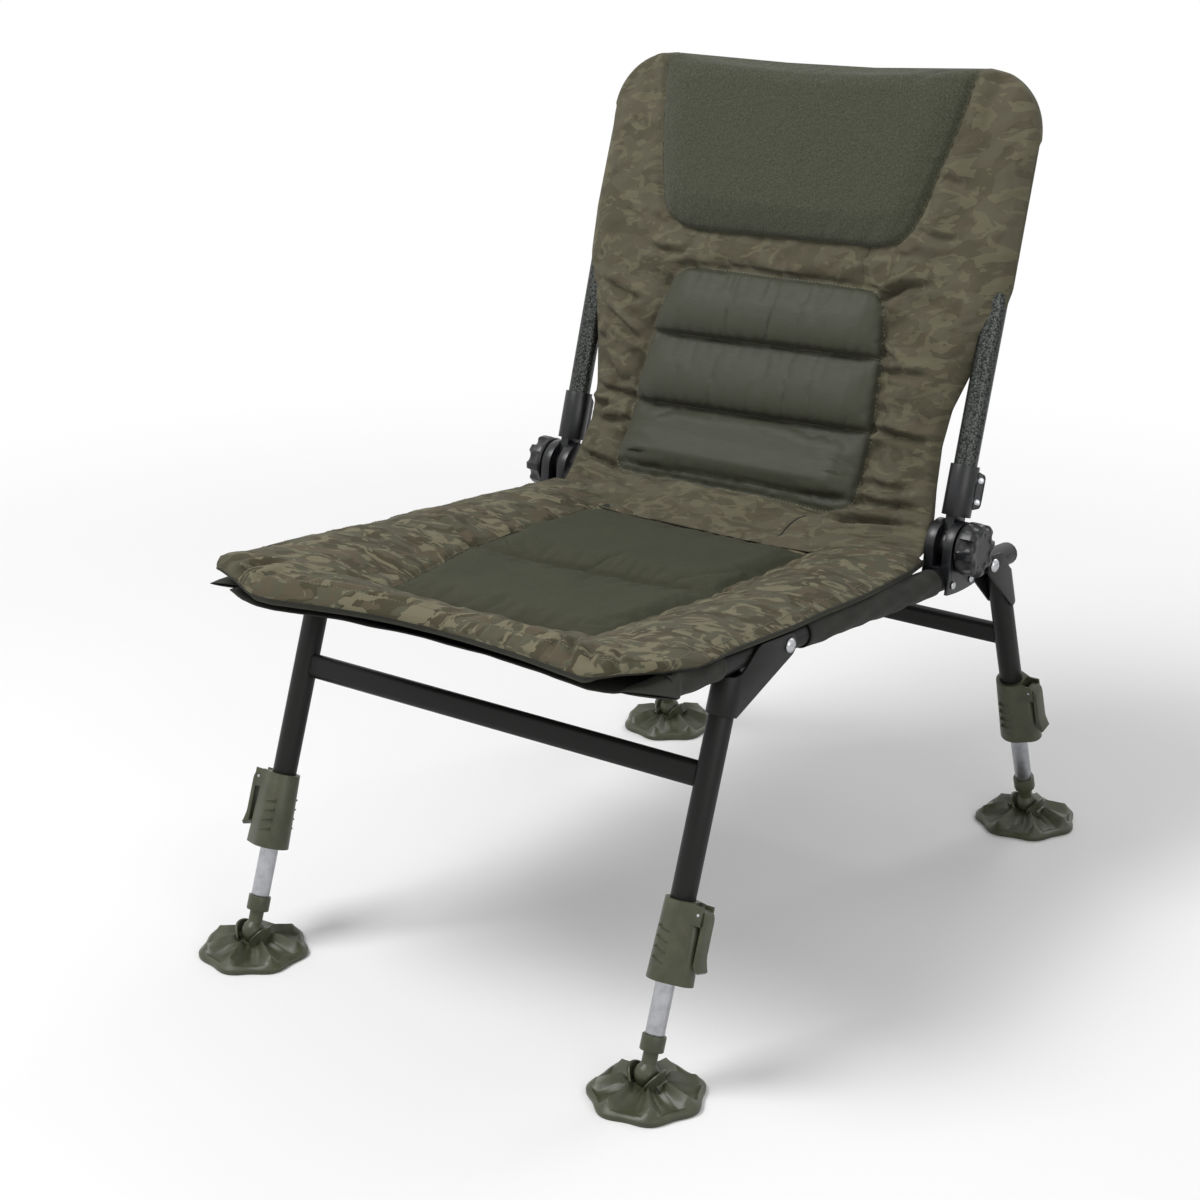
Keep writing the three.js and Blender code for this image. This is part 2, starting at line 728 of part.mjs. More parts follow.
// Scalloped clamp knob on the outer end of the hinge pin
function hingeKnob() {
  const bore = boltRadius + seatGap;
  const start = baseWidth / 2 + rivetHeight + swingGap;
  const face = start + knobDepth;
  const profile = [
    [bore, start],
    [knobRadius - knobEdge, start],
    [knobRadius, start + knobEdge / 2],
    [knobRadius, face - 2 * knobEdge],
    [knobRadius - knobEdge, face - knobEdge / 2],
    [knobRadius / 2, face],
    [0, face - knobDish],
  ];
  const end = baseWidth / 2 + swingGap + pinIntoKnob + seatGap;
  const closed = [[0, end], [bore, end], ...profile];
  const knob = turned(closed, 4 * knobLobes);
  const place = knob.attributes.position;
  for (let corner = 0; corner < place.count; corner += 1) {
    const x = place.getX(corner);
    const y = place.getY(corner);
    const radius = Math.hypot(x, y);
    const angle = Math.atan2(y, x);
    const scallop = knobScallop * Math.max(0, Math.cos(knobLobes * angle)) ** 0.7;
    const share = radius > knobRadius / 2 + knobEdge ? (radius - scallop) / radius : 1;
    place.setX(corner, x * share);
    place.setY(corner, y * share);
  }
  return knob.rotateY(Math.PI / 2);
}

// Tube swept along stations in the plane Y = 0, open at both ends when it has a bore
function hoopTube(radius, bore, from, sides = 2 * tubeSegments) {
  const stations = [];
  const straight = railSpread - hoopCorner;
  const rise = hoopTop - hoopCorner;
  for (const side of [-1, 1]) {
    const corner = [];
    for (let step = 0; step <= cornerSteps; step += 1) {
      const angle = step / cornerSteps * Math.PI / 2;
      corner.push({
        x: side * (straight + hoopCorner * Math.cos(angle)),
        z: rise + hoopCorner * Math.sin(angle),
        out: { x: side * Math.cos(angle), z: Math.sin(angle) },
      });
    }
    const leg = [{ x: side * railSpread, z: from, out: { x: side, z: 0 } }, ...corner];
    stations.push(...(side < 0 ? leg : leg.reverse()));
  }
  const positions = [];
  const radii = bore > 0 ? [radius, bore] : [radius];
  for (const skinRadius of radii) {
    for (const { x, z, out } of stations) {
      for (let step = 0; step < sides; step += 1) {
        const angle = 2 * Math.PI * step / sides;
        const outwards = skinRadius * Math.cos(angle);
        positions.push(x + out.x * outwards, skinRadius * Math.sin(angle), z + out.z * outwards);
      }
    }
  }
  const faces = [];
  const at = (skin, station, step) => (skin * stations.length + station) * sides + step % sides;
  const last = stations.length - 1;
  for (let step = 0; step < sides; step += 1) {
    for (let station = 0; station < last; station += 1) {
      const near = [at(0, station, step), at(0, station, step + 1)];
      const far = [at(0, station + 1, step), at(0, station + 1, step + 1)];
      faces.push(near[0], far[0], far[1], near[0], far[1], near[1]);
      if (bore > 0) {
        const nearIn = [at(1, station, step), at(1, station, step + 1)];
        const farIn = [at(1, station + 1, step), at(1, station + 1, step + 1)];
        faces.push(nearIn[0], farIn[1], farIn[0], nearIn[0], nearIn[1], farIn[1]);
      }
    }
    if (bore > 0) {
      faces.push(at(0, 0, step), at(0, 0, step + 1), at(1, 0, step + 1));
      faces.push(at(0, 0, step), at(1, 0, step + 1), at(1, 0, step));
      faces.push(at(0, last, step), at(1, last, step + 1), at(0, last, step + 1));
      faces.push(at(0, last, step), at(1, last, step), at(1, last, step + 1));
    } else if (step > 0 && step + 1 < sides) {
      faces.push(at(0, 0, 0), at(0, 0, step), at(0, 0, step + 1));
      faces.push(at(0, last, 0), at(0, last, step + 1), at(0, last, step));
    }
  }
  const geometry = new THREE.BufferGeometry();
  geometry.setAttribute('position', new THREE.Float32BufferAttribute(positions, 3));
  geometry.setIndex(faces);
  return geometry;
}

// Soft solid: a middle surface with a thickness on each side that fades to nothing at the rim
function cushion(acrossShares, alongShares, point) {
  const columns = acrossShares.length;
  const rows = alongShares.length;
  const positions = [];
  const upper = new Map();
  const lower = new Map();
  const key = (column, row) => row * columns + column;
  const onRim = (column, row) => column === 0 || row === 0 || column === columns - 1 || row === rows - 1;
  alongShares.forEach((along, row) => acrossShares.forEach((across, column) => {
    const { high, low, middle } = point(across, along);
    if (onRim(column, row)) {
      upper.set(key(column, row), positions.length / 3);
      lower.set(key(column, row), positions.length / 3);
      positions.push(...middle);
      return;
    }
    upper.set(key(column, row), positions.length / 3);
    positions.push(...high);
    lower.set(key(column, row), positions.length / 3);
    positions.push(...low);
  }));
  const faces = [];
  for (let row = 0; row + 1 < rows; row += 1) {
    for (let column = 0; column + 1 < columns; column += 1) {
      const corners = [
        key(column, row), key(column + 1, row), key(column + 1, row + 1), key(column, row + 1),
      ];
      // The diagonal leaves every corner of the rim in a face with an inner point
      const nearCorner = (column === 0) === (row === 0);
      const farCorner = (column === columns - 2) === (row === rows - 2);
      const split = nearCorner || farCorner ? [[0, 1, 2], [0, 2, 3]] : [[0, 1, 3], [1, 2, 3]];
      for (const [first, second, third] of split) {
        faces.push(upper.get(corners[first]), upper.get(corners[second]), upper.get(corners[third]));
        faces.push(lower.get(corners[first]), lower.get(corners[third]), lower.get(corners[second]));
      }
    }
  }
  const geometry = new THREE.BufferGeometry();
  geometry.setAttribute('position', new THREE.Float32BufferAttribute(positions, 3));
  geometry.setIndex(faces);
  return geometry;
}

// Quarter-round fall to the rim: 0 at the rim, 1 from one rounding radius inwards
function rimFall(distance, radius) {
  const share = clamp(distance / radius, 0, 1);
  return Math.sqrt(1 - (1 - share) ** 2);
}

// Shares from -1 to 1 or 0 to 1, close together at the rim and even inside
const acrossShares = [
  -1, -0.99, -0.965, -0.92, -0.84, -0.7, -0.55, -0.48, -0.35, -0.12,
  0.12, 0.35, 0.48, 0.55, 0.7, 0.84, 0.92, 0.965, 0.99, 1,
];
const padAlongShares = [
  0, 0.012, 0.045, 0.1, 0.16, 0.215, 0.27, 0.38, 0.48, 0.532, 0.58, 0.68, 0.8, 0.9, 0.955, 0.988, 1,
];

// How much of the sag is reached at a place behind the front roll
function behindRoll(y) {
  return smooth(y, -padFront + padRound / 2, -padPanelFront);
}

// How much of the border's crown stands: it rises behind the front roll and dies away beside the hinges
function crownShare(x, y) {
  const byHinge = smooth(Math.abs(x), waistHalfWidth, railSpread) * smooth(y, padPanelRear, padRear);
  return behindRoll(y) * (1 - byHinge);
}

// Height of the cushion's top above the rail axis before it is puffed: it sags between the rails
function seatSag(x, y) {
  const inward = clamp(1 - Math.abs(x) / railSpread, 0, 1);
  const depth = lerp(padSagFront, padSagRear, smooth(y, -padPanelFront, padPanelRear));
  return padEdgeTop - depth * behindRoll(y) * smooth(inward, 0, 0.75);
}

// The cushion's top: its border and its dark middle are puffed, and a seam crosses the middle
function seatTop(x, y) {
  const border = (padHalfWidth - Math.abs(x)) / (padHalfWidth - padPanelHalfWidth);
  const crown = padCrown * (border < 1 ? Math.sin(Math.PI * border) : 0) * crownShare(x, y);
  const toSeam = Math.abs(y - padSeamAlong) / padSeamWidth;
  const inPanel = Math.abs(x) < padPanelHalfWidth && y > -padPanelFront && y < padPanelRear ? 1 : 0;
  const puff = inPanel * (padPuff - padSeamDepth * Math.max(0, 1 - toSeam));
  return seatSag(x, y) + crown + puff;
}

// Height of its underside: flat where it rests over the rails, one thickness below the top between them
function seatUnder(x, y) {
  const overRail = smooth(Math.abs(x), railSpread - padRestWidth, railSpread - overrun);
  return lerp(seatSag(x, y) - padThickness, padRestHeight, overRail);
}

function seatPad() {
  const geometry = cushion(acrossShares, padAlongShares, (across, along) => {
    const cornerCut = padCornerCut * (1 - smooth(along, 0, 0.07));
    const x = across * (padHalfWidth - cornerCut);
    const front = -padFront + padFrontSetback * (1 - smooth(Math.abs(across), 0, 0.7));
    const y = lerp(front, padRear, along);
    const thick = seatTop(x, y) - seatUnder(x, y);
    const fall = rimFall(padHalfWidth - cornerCut - Math.abs(x), padRound / 4)
      * rimFall(y - front, padRound) * rimFall(padRear - y, padRound);
    const middle = seatUnder(x, y) + thick / 2;
    const half = thick / 2 * fall;
    return { high: [x, y, middle + half], low: [x, y, middle - half], middle: [x, y, middle] };
  });
  const cutters = [];
  for (const side of [-1, 1]) {
    for (const [from, to] of [[-frontSleeveFrom, -frontSleeveTo], [rearSleeveFrom, rearSleeveTo]]) {
      const sleeve = rodAlong(sleeveRadius + 2 * seatGap, from - overrun, to + overrun / 2);
      cutters.push(sleeve.translate(side * railSpread, 0, 0));
    }
  }
  return cut(geometry, ...cutters);
}

// Carrying cloth: a sheet sagging under the cushion, with sleeves that slide over the rails
function seatCloth() {
  const sheetShares = [-1, -0.96, -0.85, -0.65, -0.4, 0, 0.4, 0.65, 0.85, 0.96, 1];
  const lengthShares = [0, 0.03, 0.08, 0.13, 0.2, 0.24, 0.4, 0.46, 0.7, 0.97, 1];
  const sheet = cushion(sheetShares, lengthShares, (across, along) => {
    const nearBracket = smooth(along, 0.2, 0.24) * (1 - smooth(along, 0.46, 0.5));
    const x = across * lerp(railSpread - sleeveRadius + 2 * clothThickness, clothHalfWidth, nearBracket);
    const front = -frontSleeveFrom + padFrontSetback * (1 - smooth(Math.abs(across), 0, 0.7));
    const y = lerp(front, rearSleeveTo, along);
    const under = seatUnder(x, y) - clothDrop;
    const edgeDrop = -clothThickness;
    const height = lerp(Math.min(under, edgeDrop), edgeDrop, smooth(Math.abs(across), 0.9, 1));
    return {
      high: [x, y, height + clothThickness / 2],
      low: [x, y, height - clothThickness / 2],
      middle: [x, y, height],
    };
  });
  const sleeves = [];
  const bores = [];
  for (const side of [-1, 1]) {
    bores.push(rodAlong(boreRadius, -2 * railRear, 2 * railRear).translate(side * railSpread, 0, 0));
    for (const [from, to] of [[-frontSleeveFrom, -frontSleeveTo], [rearSleeveFrom, rearSleeveTo]]) {
      sleeves.push(rodAlong(sleeveRadius, from, to).translate(side * railSpread, 0, 0));
    }
  }
  return cut(join(sheet, ...sleeves), ...bores);
}

// Half-width of the back cover at a height along the back: narrow waist, full shoulders, round top corners
function coverHalf(up) {
  const body = lerp(waistHalfWidth, coverHalfWidth, smooth(up, waistTop, shoulderBottom));
  const inCorner = Math.max(0, up - (coverTop - coverCorner));
  return body - coverCorner + Math.sqrt(Math.max(0, coverCorner ** 2 - inCorner ** 2));
}

// How far the cover's middle lies behind the back frame's plane, from its foot up to the sleeves
function coverBack(up) {
  return coverSetback * (1 - smooth(up, coverBottom, shoulderBottom));
}

function coverFront(x, up) {
  const side = smooth(Math.abs(x), waistHalfWidth - coverRound, railSpread - tubeRadius)
    * smooth(up, waistTop + coverRound, shoulderBottom);
  let front = borderFront;
  const inLumbar = 1 - smooth(Math.abs(x), lumbarHalfWidth - coverRound, lumbarHalfWidth);
  const channel = (up - lumbarBottom) / (lumbarTop - lumbarBottom) * lumbarChannels;
  const roll = channel > 0 && channel < lumbarChannels ? Math.sqrt(Math.abs(Math.sin(Math.PI * channel))) : 0;
  front += lumbarBulge * inLumbar * roll;
  const headHalf = headHalfWidth - headTaper * (1 - smooth(up, headBottom, headBottom + 5 * coverRound));
  const headSide = 1 - smooth(Math.abs(x), headHalf - coverRound, headHalf + coverRound);
  front += headBulge * smooth(up, headBottom - coverRound, headBottom + coverRound) * headSide;
  return lerp(front, sleeveHalf, side);
}

function coverRear(x, up) {
  const side = smooth(Math.abs(x), waistHalfWidth - coverRound, railSpread - tubeRadius)
    * smooth(up, waistTop + coverRound, shoulderBottom);
  const head = smooth(up, hoopTop - 3 * tubeRadius, hoopTop - tubeRadius);
  return lerp(borderRear, sleeveHalf, Math.max(side, head));
}

const coverUpShares = [
  0, 0.012, 0.047, 0.077, 0.106, 0.17, 0.233, 0.262, 0.292, 0.354, 0.42, 0.447, 0.476, 0.51, 0.54, 0.58,
  0.68, 0.8, 0.88, 0.94, 0.98, 1,
];

function backCover() {
  const geometry = cushion(acrossShares, coverUpShares, (across, along) => {
    const up = lerp(coverBottom, coverTop, along);
    const half = coverHalf(up);
    const x = across * half;
    const centre = coverBack(up);
    const cornerX = Math.max(0, Math.abs(x) - (coverHalfWidth - coverCorner));
    const cornerUp = Math.max(0, up - (coverTop - coverCorner));
    const toRim = cornerX > 0 && cornerUp > 0
      ? coverCorner - Math.hypot(cornerX, cornerUp)
      : Math.min(half - Math.abs(x), coverTop - up);
    const fall = rimFall(toRim, coverRound) * rimFall(up - coverBottom, coverRound / 2);
    const rest = [x, centre, up];
    return {
      high: [x, centre - coverFront(x, up) * fall, up],
      low: [x, centre + coverRear(x, up) * fall, up],
      middle: rest,
    };
  });
  return cut(geometry, hoopTube(boreRadius + seatGap, 0, -coverBottom));
}

// Fold of the cover between the seat cushion and the back: it bends whenever the back moves
function coverFold() {
  const tilt = radians(backLean - seatTilt);
  const foldAcrossShares = [
    -1, -0.97, -0.9, -0.82, -0.64, -0.56, -0.41, -0.25, 0.25, 0.41, 0.56, 0.64, 0.82, 0.9, 0.97, 1,
  ];
  const foldAlongShares = [0, 0.05, 0.2, 0.45, 0.6, 0.8, 0.95, 1];
  const cos = Math.cos(tilt);
  const sin = Math.sin(tilt);
  const setback = coverBack(coverBottom);
  const height = coverBottom - 2 * seatGap;
  const backEnd = new THREE.Vector2(
    hingeAlong + setback * cos + height * sin, hingeRise - setback * sin + height * cos,
  );
  const knee = new THREE.Vector2(hingeAlong - kneeAhead, hingeRise - kneeDrop);
  return cushion(foldAcrossShares, foldAlongShares, (across, along) => {
    const x = across * waistHalfWidth;
    const crease = padPanelRear + creaseInset
      + creaseSetback * smooth(Math.abs(x), padPanelHalfWidth, waistHalfWidth);
    const seatEnd = new THREE.Vector2(crease, seatTop(x, crease) + 2 * seatGap);
    const route = new THREE.QuadraticBezierCurve(seatEnd, knee, backEnd);
    const place = route.getPoint(along);
    const heading = route.getTangent(along);
    const fall = rimFall(waistHalfWidth - Math.abs(x), coverRound / 2)
      * rimFall(Math.min(along, 1 - along) * coverBottom, coverRound / 3);
    const inLumbar = 1 - smooth(Math.abs(x), lumbarHalfWidth - coverRound, lumbarHalfWidth);
    const up = (borderFront + lumbarBulge * inLumbar * smooth(along, 0.45, 0.95)) * fall;
    const down = borderRear * fall;
    const low = new THREE.Vector2(place.x + heading.y * down, place.y - heading.x * down);
    const onPad = low.x < padRear ? seatTop(x, low.x) + 2 * seatGap : low.y;
    return {
      high: [x, place.x - heading.y * up, place.y + heading.x * up],
      low: [x, low.x, Math.max(low.y, onPad)],
      middle: [x, place.x, place.y],
    };
  });
}

// Assembly
const chair = new THREE.Group();

function piece(parent, name, geometry, material) {
  const mesh = new THREE.Mesh(geometry, material);
  mesh.name = name;
  parent.add(mesh);
  return mesh;
}

const sides = [['left', -1], ['right', 1]];
const forSide = (geometry, side) => (side > 0 ? geometry : mirrored(geometry));

const seat = new THREE.Group();
seat.position.set(0, -frontBoltReach, frontBoltHeight);
seat.rotation.x = -radians(seatTilt);
chair.add(seat);
piece(seat, 'seat_pad', seatPad(), camoCloth);
piece(seat, 'seat_cloth', seatCloth(), darkCloth);
piece(seat, 'cover_fold', coverFold(), camoCloth);

const back = new THREE.Group();
back.position.set(0, hingeAlong, hingeRise);
back.rotation.x = -radians(backLean - seatTilt);
seat.add(back);
const hoopStart = socketStart + bracketSheet + seatGap;
piece(back, 'back_frame', hoopTube(tubeRadius, tubeRadius - tubeWall, hoopStart), backPaint);
piece(back, 'back_cover', backCover(), camoCloth);

for (const [name, side] of sides) {
  const rail = new THREE.Group();
  rail.position.x = side * railSpread;
  seat.add(rail);
  piece(rail, `${name}_seat_rail`, seatRail(), framePaint);
  piece(rail, `${name}_rail_cap`, railCap(), blackPlastic);
  piece(rail, `front_${name}_pivot_bolt`, forSide(pivotBolt(), side), zincSteel);
  piece(rail, `rear_${name}_pivot_bolt`, forSide(pivotBolt(), side), zincSteel).position.y = boltSpacing;
  piece(rail, `${name}_hinge_base`, forSide(hingeBase(), side), blackPlastic).position.y = hingeAlong;
  const pivot = new THREE.Group();
  pivot.position.set(side * railSpread, 0, 0);
  back.add(pivot);
  piece(pivot, `${name}_hinge_arm`, forSide(hingeArm(), side), blackPlastic);
  const hinge = new THREE.Group();
  hinge.position.set(0, hingeAlong, hingeRise);
  rail.add(hinge);
  piece(hinge, `${name}_hinge_pin`, forSide(hingePin(), side), zincSteel);
  piece(hinge, `${name}_hinge_knob`, forSide(hingeKnob(), side), blackPlastic);
}

for (const leg of [frontLeg, rearLeg]) {
  const frame = new THREE.Group();
  frame.position.set(0, -leg.ahead * footReach, ballHeight);
  frame.rotation.x = -leg.lean;
  chair.add(frame);
  piece(frame, `${leg.name}_crossbar`, crossbar(), framePaint).position.z = leg.crossbarUp;
  for (const [name, side] of sides) {
    const stand = new THREE.Group();
    stand.position.x = side * railSpread;
    frame.add(stand);
    const full = `${leg.name}_${name}`;
    piece(stand, `${full}_leg_tube`, legTube(leg), framePaint);
    piece(stand, `${full}_leg_bracket`, legBracket(leg), framePaint);
    const collar = piece(stand, `${full}_lock_collar`, forSide(lockCollar(), side), olivePlastic);
    collar.position.z = leg.collarBottom;
    const latch = new THREE.Group();
    latch.position.set(side * leverPinReach, 0, leg.collarBottom + collarLength - leverPinInset);
    stand.add(latch);
    piece(latch, `${full}_lock_lever`, forSide(lockLever(), side), olivePlastic);
    piece(latch, `${full}_lever_pin`, leverPin(), zincSteel);
    piece(stand, `${full}_inner_leg`, innerLeg(leg), bareAluminium);
    piece(stand, `${full}_ball_end`, ballEnd(), olivePlastic);
    const foot = new THREE.Group();
    foot.position.set(side * railSpread, -leg.ahead * footReach, ballHeight);
    chair.add(foot);
    piece(foot, `${full}_mud_foot`, forSide(mudFoot(), side), olivePlastic);
    piece(foot, `${full}_cup_screw`, forSide(cupScrew(), side), zincSteel);
  }
}

export default chair;
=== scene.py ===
# %% [markdown]
# # A folding carp fishing chair
# This script dresses it: padded cloth, paint, plastic, stitches, a floor and light. A padded piece
# is worked out as grids of points with numpy, blown up a little with a cloth simulation, and
# coloured with nodes only.

# %% Load the frame
import math

import bpy
import numpy as np
from mathutils import Matrix, Vector


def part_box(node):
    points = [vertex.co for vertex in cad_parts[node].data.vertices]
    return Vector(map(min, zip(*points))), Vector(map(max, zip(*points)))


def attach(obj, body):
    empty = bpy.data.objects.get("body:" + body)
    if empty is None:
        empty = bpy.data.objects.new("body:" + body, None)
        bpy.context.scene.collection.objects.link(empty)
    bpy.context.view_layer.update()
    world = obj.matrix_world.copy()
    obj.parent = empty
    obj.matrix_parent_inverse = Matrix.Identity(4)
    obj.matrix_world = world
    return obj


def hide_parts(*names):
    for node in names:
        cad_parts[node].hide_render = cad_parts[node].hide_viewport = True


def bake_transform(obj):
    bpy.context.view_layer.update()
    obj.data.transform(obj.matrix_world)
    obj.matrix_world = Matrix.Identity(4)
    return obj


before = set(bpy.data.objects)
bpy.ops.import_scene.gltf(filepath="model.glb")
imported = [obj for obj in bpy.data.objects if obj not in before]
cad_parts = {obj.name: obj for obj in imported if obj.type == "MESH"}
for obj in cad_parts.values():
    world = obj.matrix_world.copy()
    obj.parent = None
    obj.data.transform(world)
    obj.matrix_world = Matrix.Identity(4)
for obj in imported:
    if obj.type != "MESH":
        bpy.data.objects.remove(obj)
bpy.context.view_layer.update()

scene = bpy.context.scene

# %% [markdown]
# ## Two slanted frames of reference
# The seat slopes back by about five degrees and the back leans by about seventeen, so it is easier to
# work in coordinates that lie along them. One function takes (across, along the rail, above the rail),
# the other takes (across, up the back, forward of the back) and both return points of the room.

# %% Seat and back coordinates
SEAT_TILT = math.radians(4.95)
BACK_LEAN = math.radians(17.5)
FRONT_BOLT = np.array([0.0, -0.167, 0.391])
HINGE_ALONG, HINGE_RISE = 0.336, 0.034
RAIL_X = 0.252


def seat_point(x, along, above):
    """A point by its place on the seat: the bolt's place plus a turned (along, above) pair."""
    c, s = math.cos(SEAT_TILT), math.sin(SEAT_TILT)
    x, along, above = np.broadcast_arrays(x, along, above)
    return np.stack([x, FRONT_BOLT[1] + c * along + s * above, FRONT_BOLT[2] - s * along + c * above], -1)


HINGE = seat_point(0.0, HINGE_ALONG, HINGE_RISE)


def back_point(x, up, forward):
    """A point by its place on the back: the hinge's place plus a turned (up, forward) pair."""
    c, s = math.cos(BACK_LEAN), math.sin(BACK_LEAN)
    x, up, forward = np.broadcast_arrays(x, up, forward)
    return np.stack([x, HINGE[1] + s * up - c * forward, HINGE[2] + c * up + s * forward], -1)


def smooth(value, low, high):
    """0 below low, 1 above high, and the curve 3t^2 - 2t^3 in between."""
    t = np.clip((np.asarray(value, float) - low) / (high - low), 0, 1)
    return t * t * (3 - 2 * t)


def mix(a, b, t):
    """Straight line from a to b."""
    return a + (b - a) * t


print("hinge axis at", HINGE.round(4))

# %% [markdown]
# ## The camera
# It stands where the photographer stood: in front of the chair, to its right side, and above seat
# height. A camera's matrix has its own right, up and backward directions as columns.

# %% Camera
CAMERA_AT = Vector((1.49745, -2.14041, 1.27323))
YAW, PITCH, ROLL = math.radians(36.3836), math.radians(19.8138), math.radians(-0.3518)
FOCAL_PIXELS, IMAGE_PIXELS = 2612.56, 1200

forward = Vector((-math.sin(YAW) * math.cos(PITCH), math.cos(YAW) * math.cos(PITCH), -math.sin(PITCH)))
level_right = Vector((math.cos(YAW), math.sin(YAW), 0))
level_up = level_right.cross(forward)
right = level_right * math.cos(ROLL) + level_up * math.sin(ROLL)
up = level_up * math.cos(ROLL) - level_right * math.sin(ROLL)
camera = bpy.data.objects.new("camera", bpy.data.cameras.new("camera"))
camera.data.sensor_width = 36
camera.data.lens = FOCAL_PIXELS / IMAGE_PIXELS * camera.data.sensor_width
camera.matrix_world = Matrix.Translation(CAMERA_AT) @ Matrix((right, up, -forward)).transposed().to_4x4()
scene.collection.objects.link(camera)
scene.camera = camera
print("lens", round(camera.data.lens, 2), "mm")

# %% [markdown]
# ## Shader maths as plain Python
# A material is a small program made of nodes. Linking them by hand is long-winded, so Value wraps a
# socket and turns +, - and * into Math nodes. Shader.node makes any other node: its settings are set
# first, then its inputs, each of which is a number, a colour or a link.

# %% Shader helper
class Value:
    """A number that comes out of a node and can be used in Python sums."""

    def __init__(self, shader, socket):
        self.shader, self.socket = shader, socket

    def math(self, operation, *others):
        """The result of one Math node on this number and the others."""
        return self.shader.node("Math", dict(enumerate((self, *others))), operation=operation)

    def __add__(self, other):
        return self.math("ADD", other)

    def __mul__(self, other):
        return self.math("MULTIPLY", other)

    def __sub__(self, other):
        return self.math("SUBTRACT", other)

    def __rsub__(self, other):
        return (self * -1).math("ADD", other)

    __radd__, __rmul__ = __add__, __mul__

    def abs(self):
        return self.math("ABSOLUTE")

    def sin(self):
        return self.math("SINE")

    def step(self, low, high):
        """0 below low, 1 above high, smooth in between."""
        inputs = {"Value": self, "From Min": low, "From Max": high}
        return self.shader.node("MapRange", inputs, interpolation_type="SMOOTHSTEP")


class Shader:
    """One material: a Principled shader whose sockets are filled in by name."""

    def __init__(self, name, color, roughness, **fixed):
        self.material = bpy.data.materials.new(name)
        self.material.use_nodes = True
        self.tree = self.material.node_tree
        self.main = self.tree.nodes["Principled BSDF"]
        self.material.diffuse_color = (*linear(color), 1)
        self.set("Base Color", color)
        self.set("Roughness", roughness)
        for socket, value in fixed.items():
            self.set(socket.replace("_", " "), value)

    def fill(self, socket, value):
        """Puts a link, a colour (six hex digits or three numbers) or a number into a socket."""
        if isinstance(value, Value):
            self.tree.links.new(value.socket, socket)
        elif isinstance(value, str):
            socket.default_value = (*linear(value), 1)
        elif hasattr(value, "__len__") and len(value) == 3 and socket.type == "RGBA":
            socket.default_value = (*value, 1)
        else:
            socket.default_value = value

    def set(self, name, value):
        """Fills a socket of the Principled shader."""
        self.fill(self.main.inputs[name], value)

    def node(self, kind, inputs=None, output=0, **settings):
        """A node of any kind: its settings are set first, then its inputs. Gives one of its outputs."""
        made = self.tree.nodes.new("ShaderNode" + kind)
        for key, value in settings.items():
            setattr(made, key, value)
        for key, value in (inputs or {}).items():
            self.fill(made.inputs[key], value)
        return Value(self, made.outputs[output])

    def mix(self, factor, first, second):
        """Colour between first and second. A Mix node has its colours at 6 and 7 and gives output 2."""
        inputs = {0: factor, 6: first, 7: second}
        return self.node("Mix", inputs, output=2, data_type="RGBA")

    def place(self, kind="Object"):
        """Where the shaded point is: in the object, or on the flat cloth if kind is UV."""
        return self.node("TexCoord", output=kind)

    def parts(self, vector):
        """The three numbers of a vector."""
        made = self.tree.nodes.new("ShaderNodeSeparateXYZ")
        self.fill(made.inputs[0], vector)
        return [Value(self, socket) for socket in made.outputs]

    def stretch(self, vector, scale, turn=0.0):
        """A vector that is scaled along its axes and turned about its third axis."""
        inputs = {"Vector": vector, "Scale": scale, "Rotation": (0, 0, turn)}
        return self.node("Mapping", inputs)

    def noise(self, vector, scale, detail=2.0, rough=0.5, warp=0.0, seed=0.0):
        """Soft hills between 0 and 1, about scale of them a metre; a seed picks another pattern."""
        inputs = {"Vector": vector, "W": seed, "Scale": scale, "Detail": detail, "Roughness": rough,
                  "Distortion": warp}
        return self.node("TexNoise", inputs, noise_dimensions="4D")

    def bump(self, height, distance, strength=1.0):
        """Shades the surface as if it stood up by distance, in metres, where height is 1."""
        inputs = {"Height": height, "Distance": distance, "Strength": strength}
        self.set("Normal", self.node("Bump", inputs))


def linear(color):
    """Six hex digits, as a colour is written, to the linear numbers that Blender wants."""
    parts = [int(color[i:i + 2], 16) / 255 for i in (0, 2, 4)]
    return tuple(p / 12.92 if p <= 0.04045 else ((p + 0.055) / 1.055) ** 2.4 for p in parts)


print("a middle grey, 808080, is", round(linear("808080")[0], 3), "in linear light")

# %% [markdown]
# ## Camouflage cloth
# The cover is a woven jacquard: the same yarns make brown, olive and lighter khaki patches, with only a
# little contrast. Noise that is stretched sideways and cut at a level gives islands with lobed edges;
# three of them laid over each other give the layered look. A fine diagonal weave goes into the bump.

# %% Camouflage material
# Each patch: blobs for one of scale, warp of its outline, seed, the level it is cut at, and its tone.
PATCHES = [(0.8, 0.9, 1.0, 0.51, "444030"), (0.9, 1.3, 9.0, 0.56, "554d3d"),
           (1.15, 1.5, 5.0, 0.555, "726e59")]
STREAK_TONE, FADE_TONE = "777360", "454232"
# Threads are sine waves; this is how far their angle turns in a metre, in radians.
WEAVE_TURN = 4200


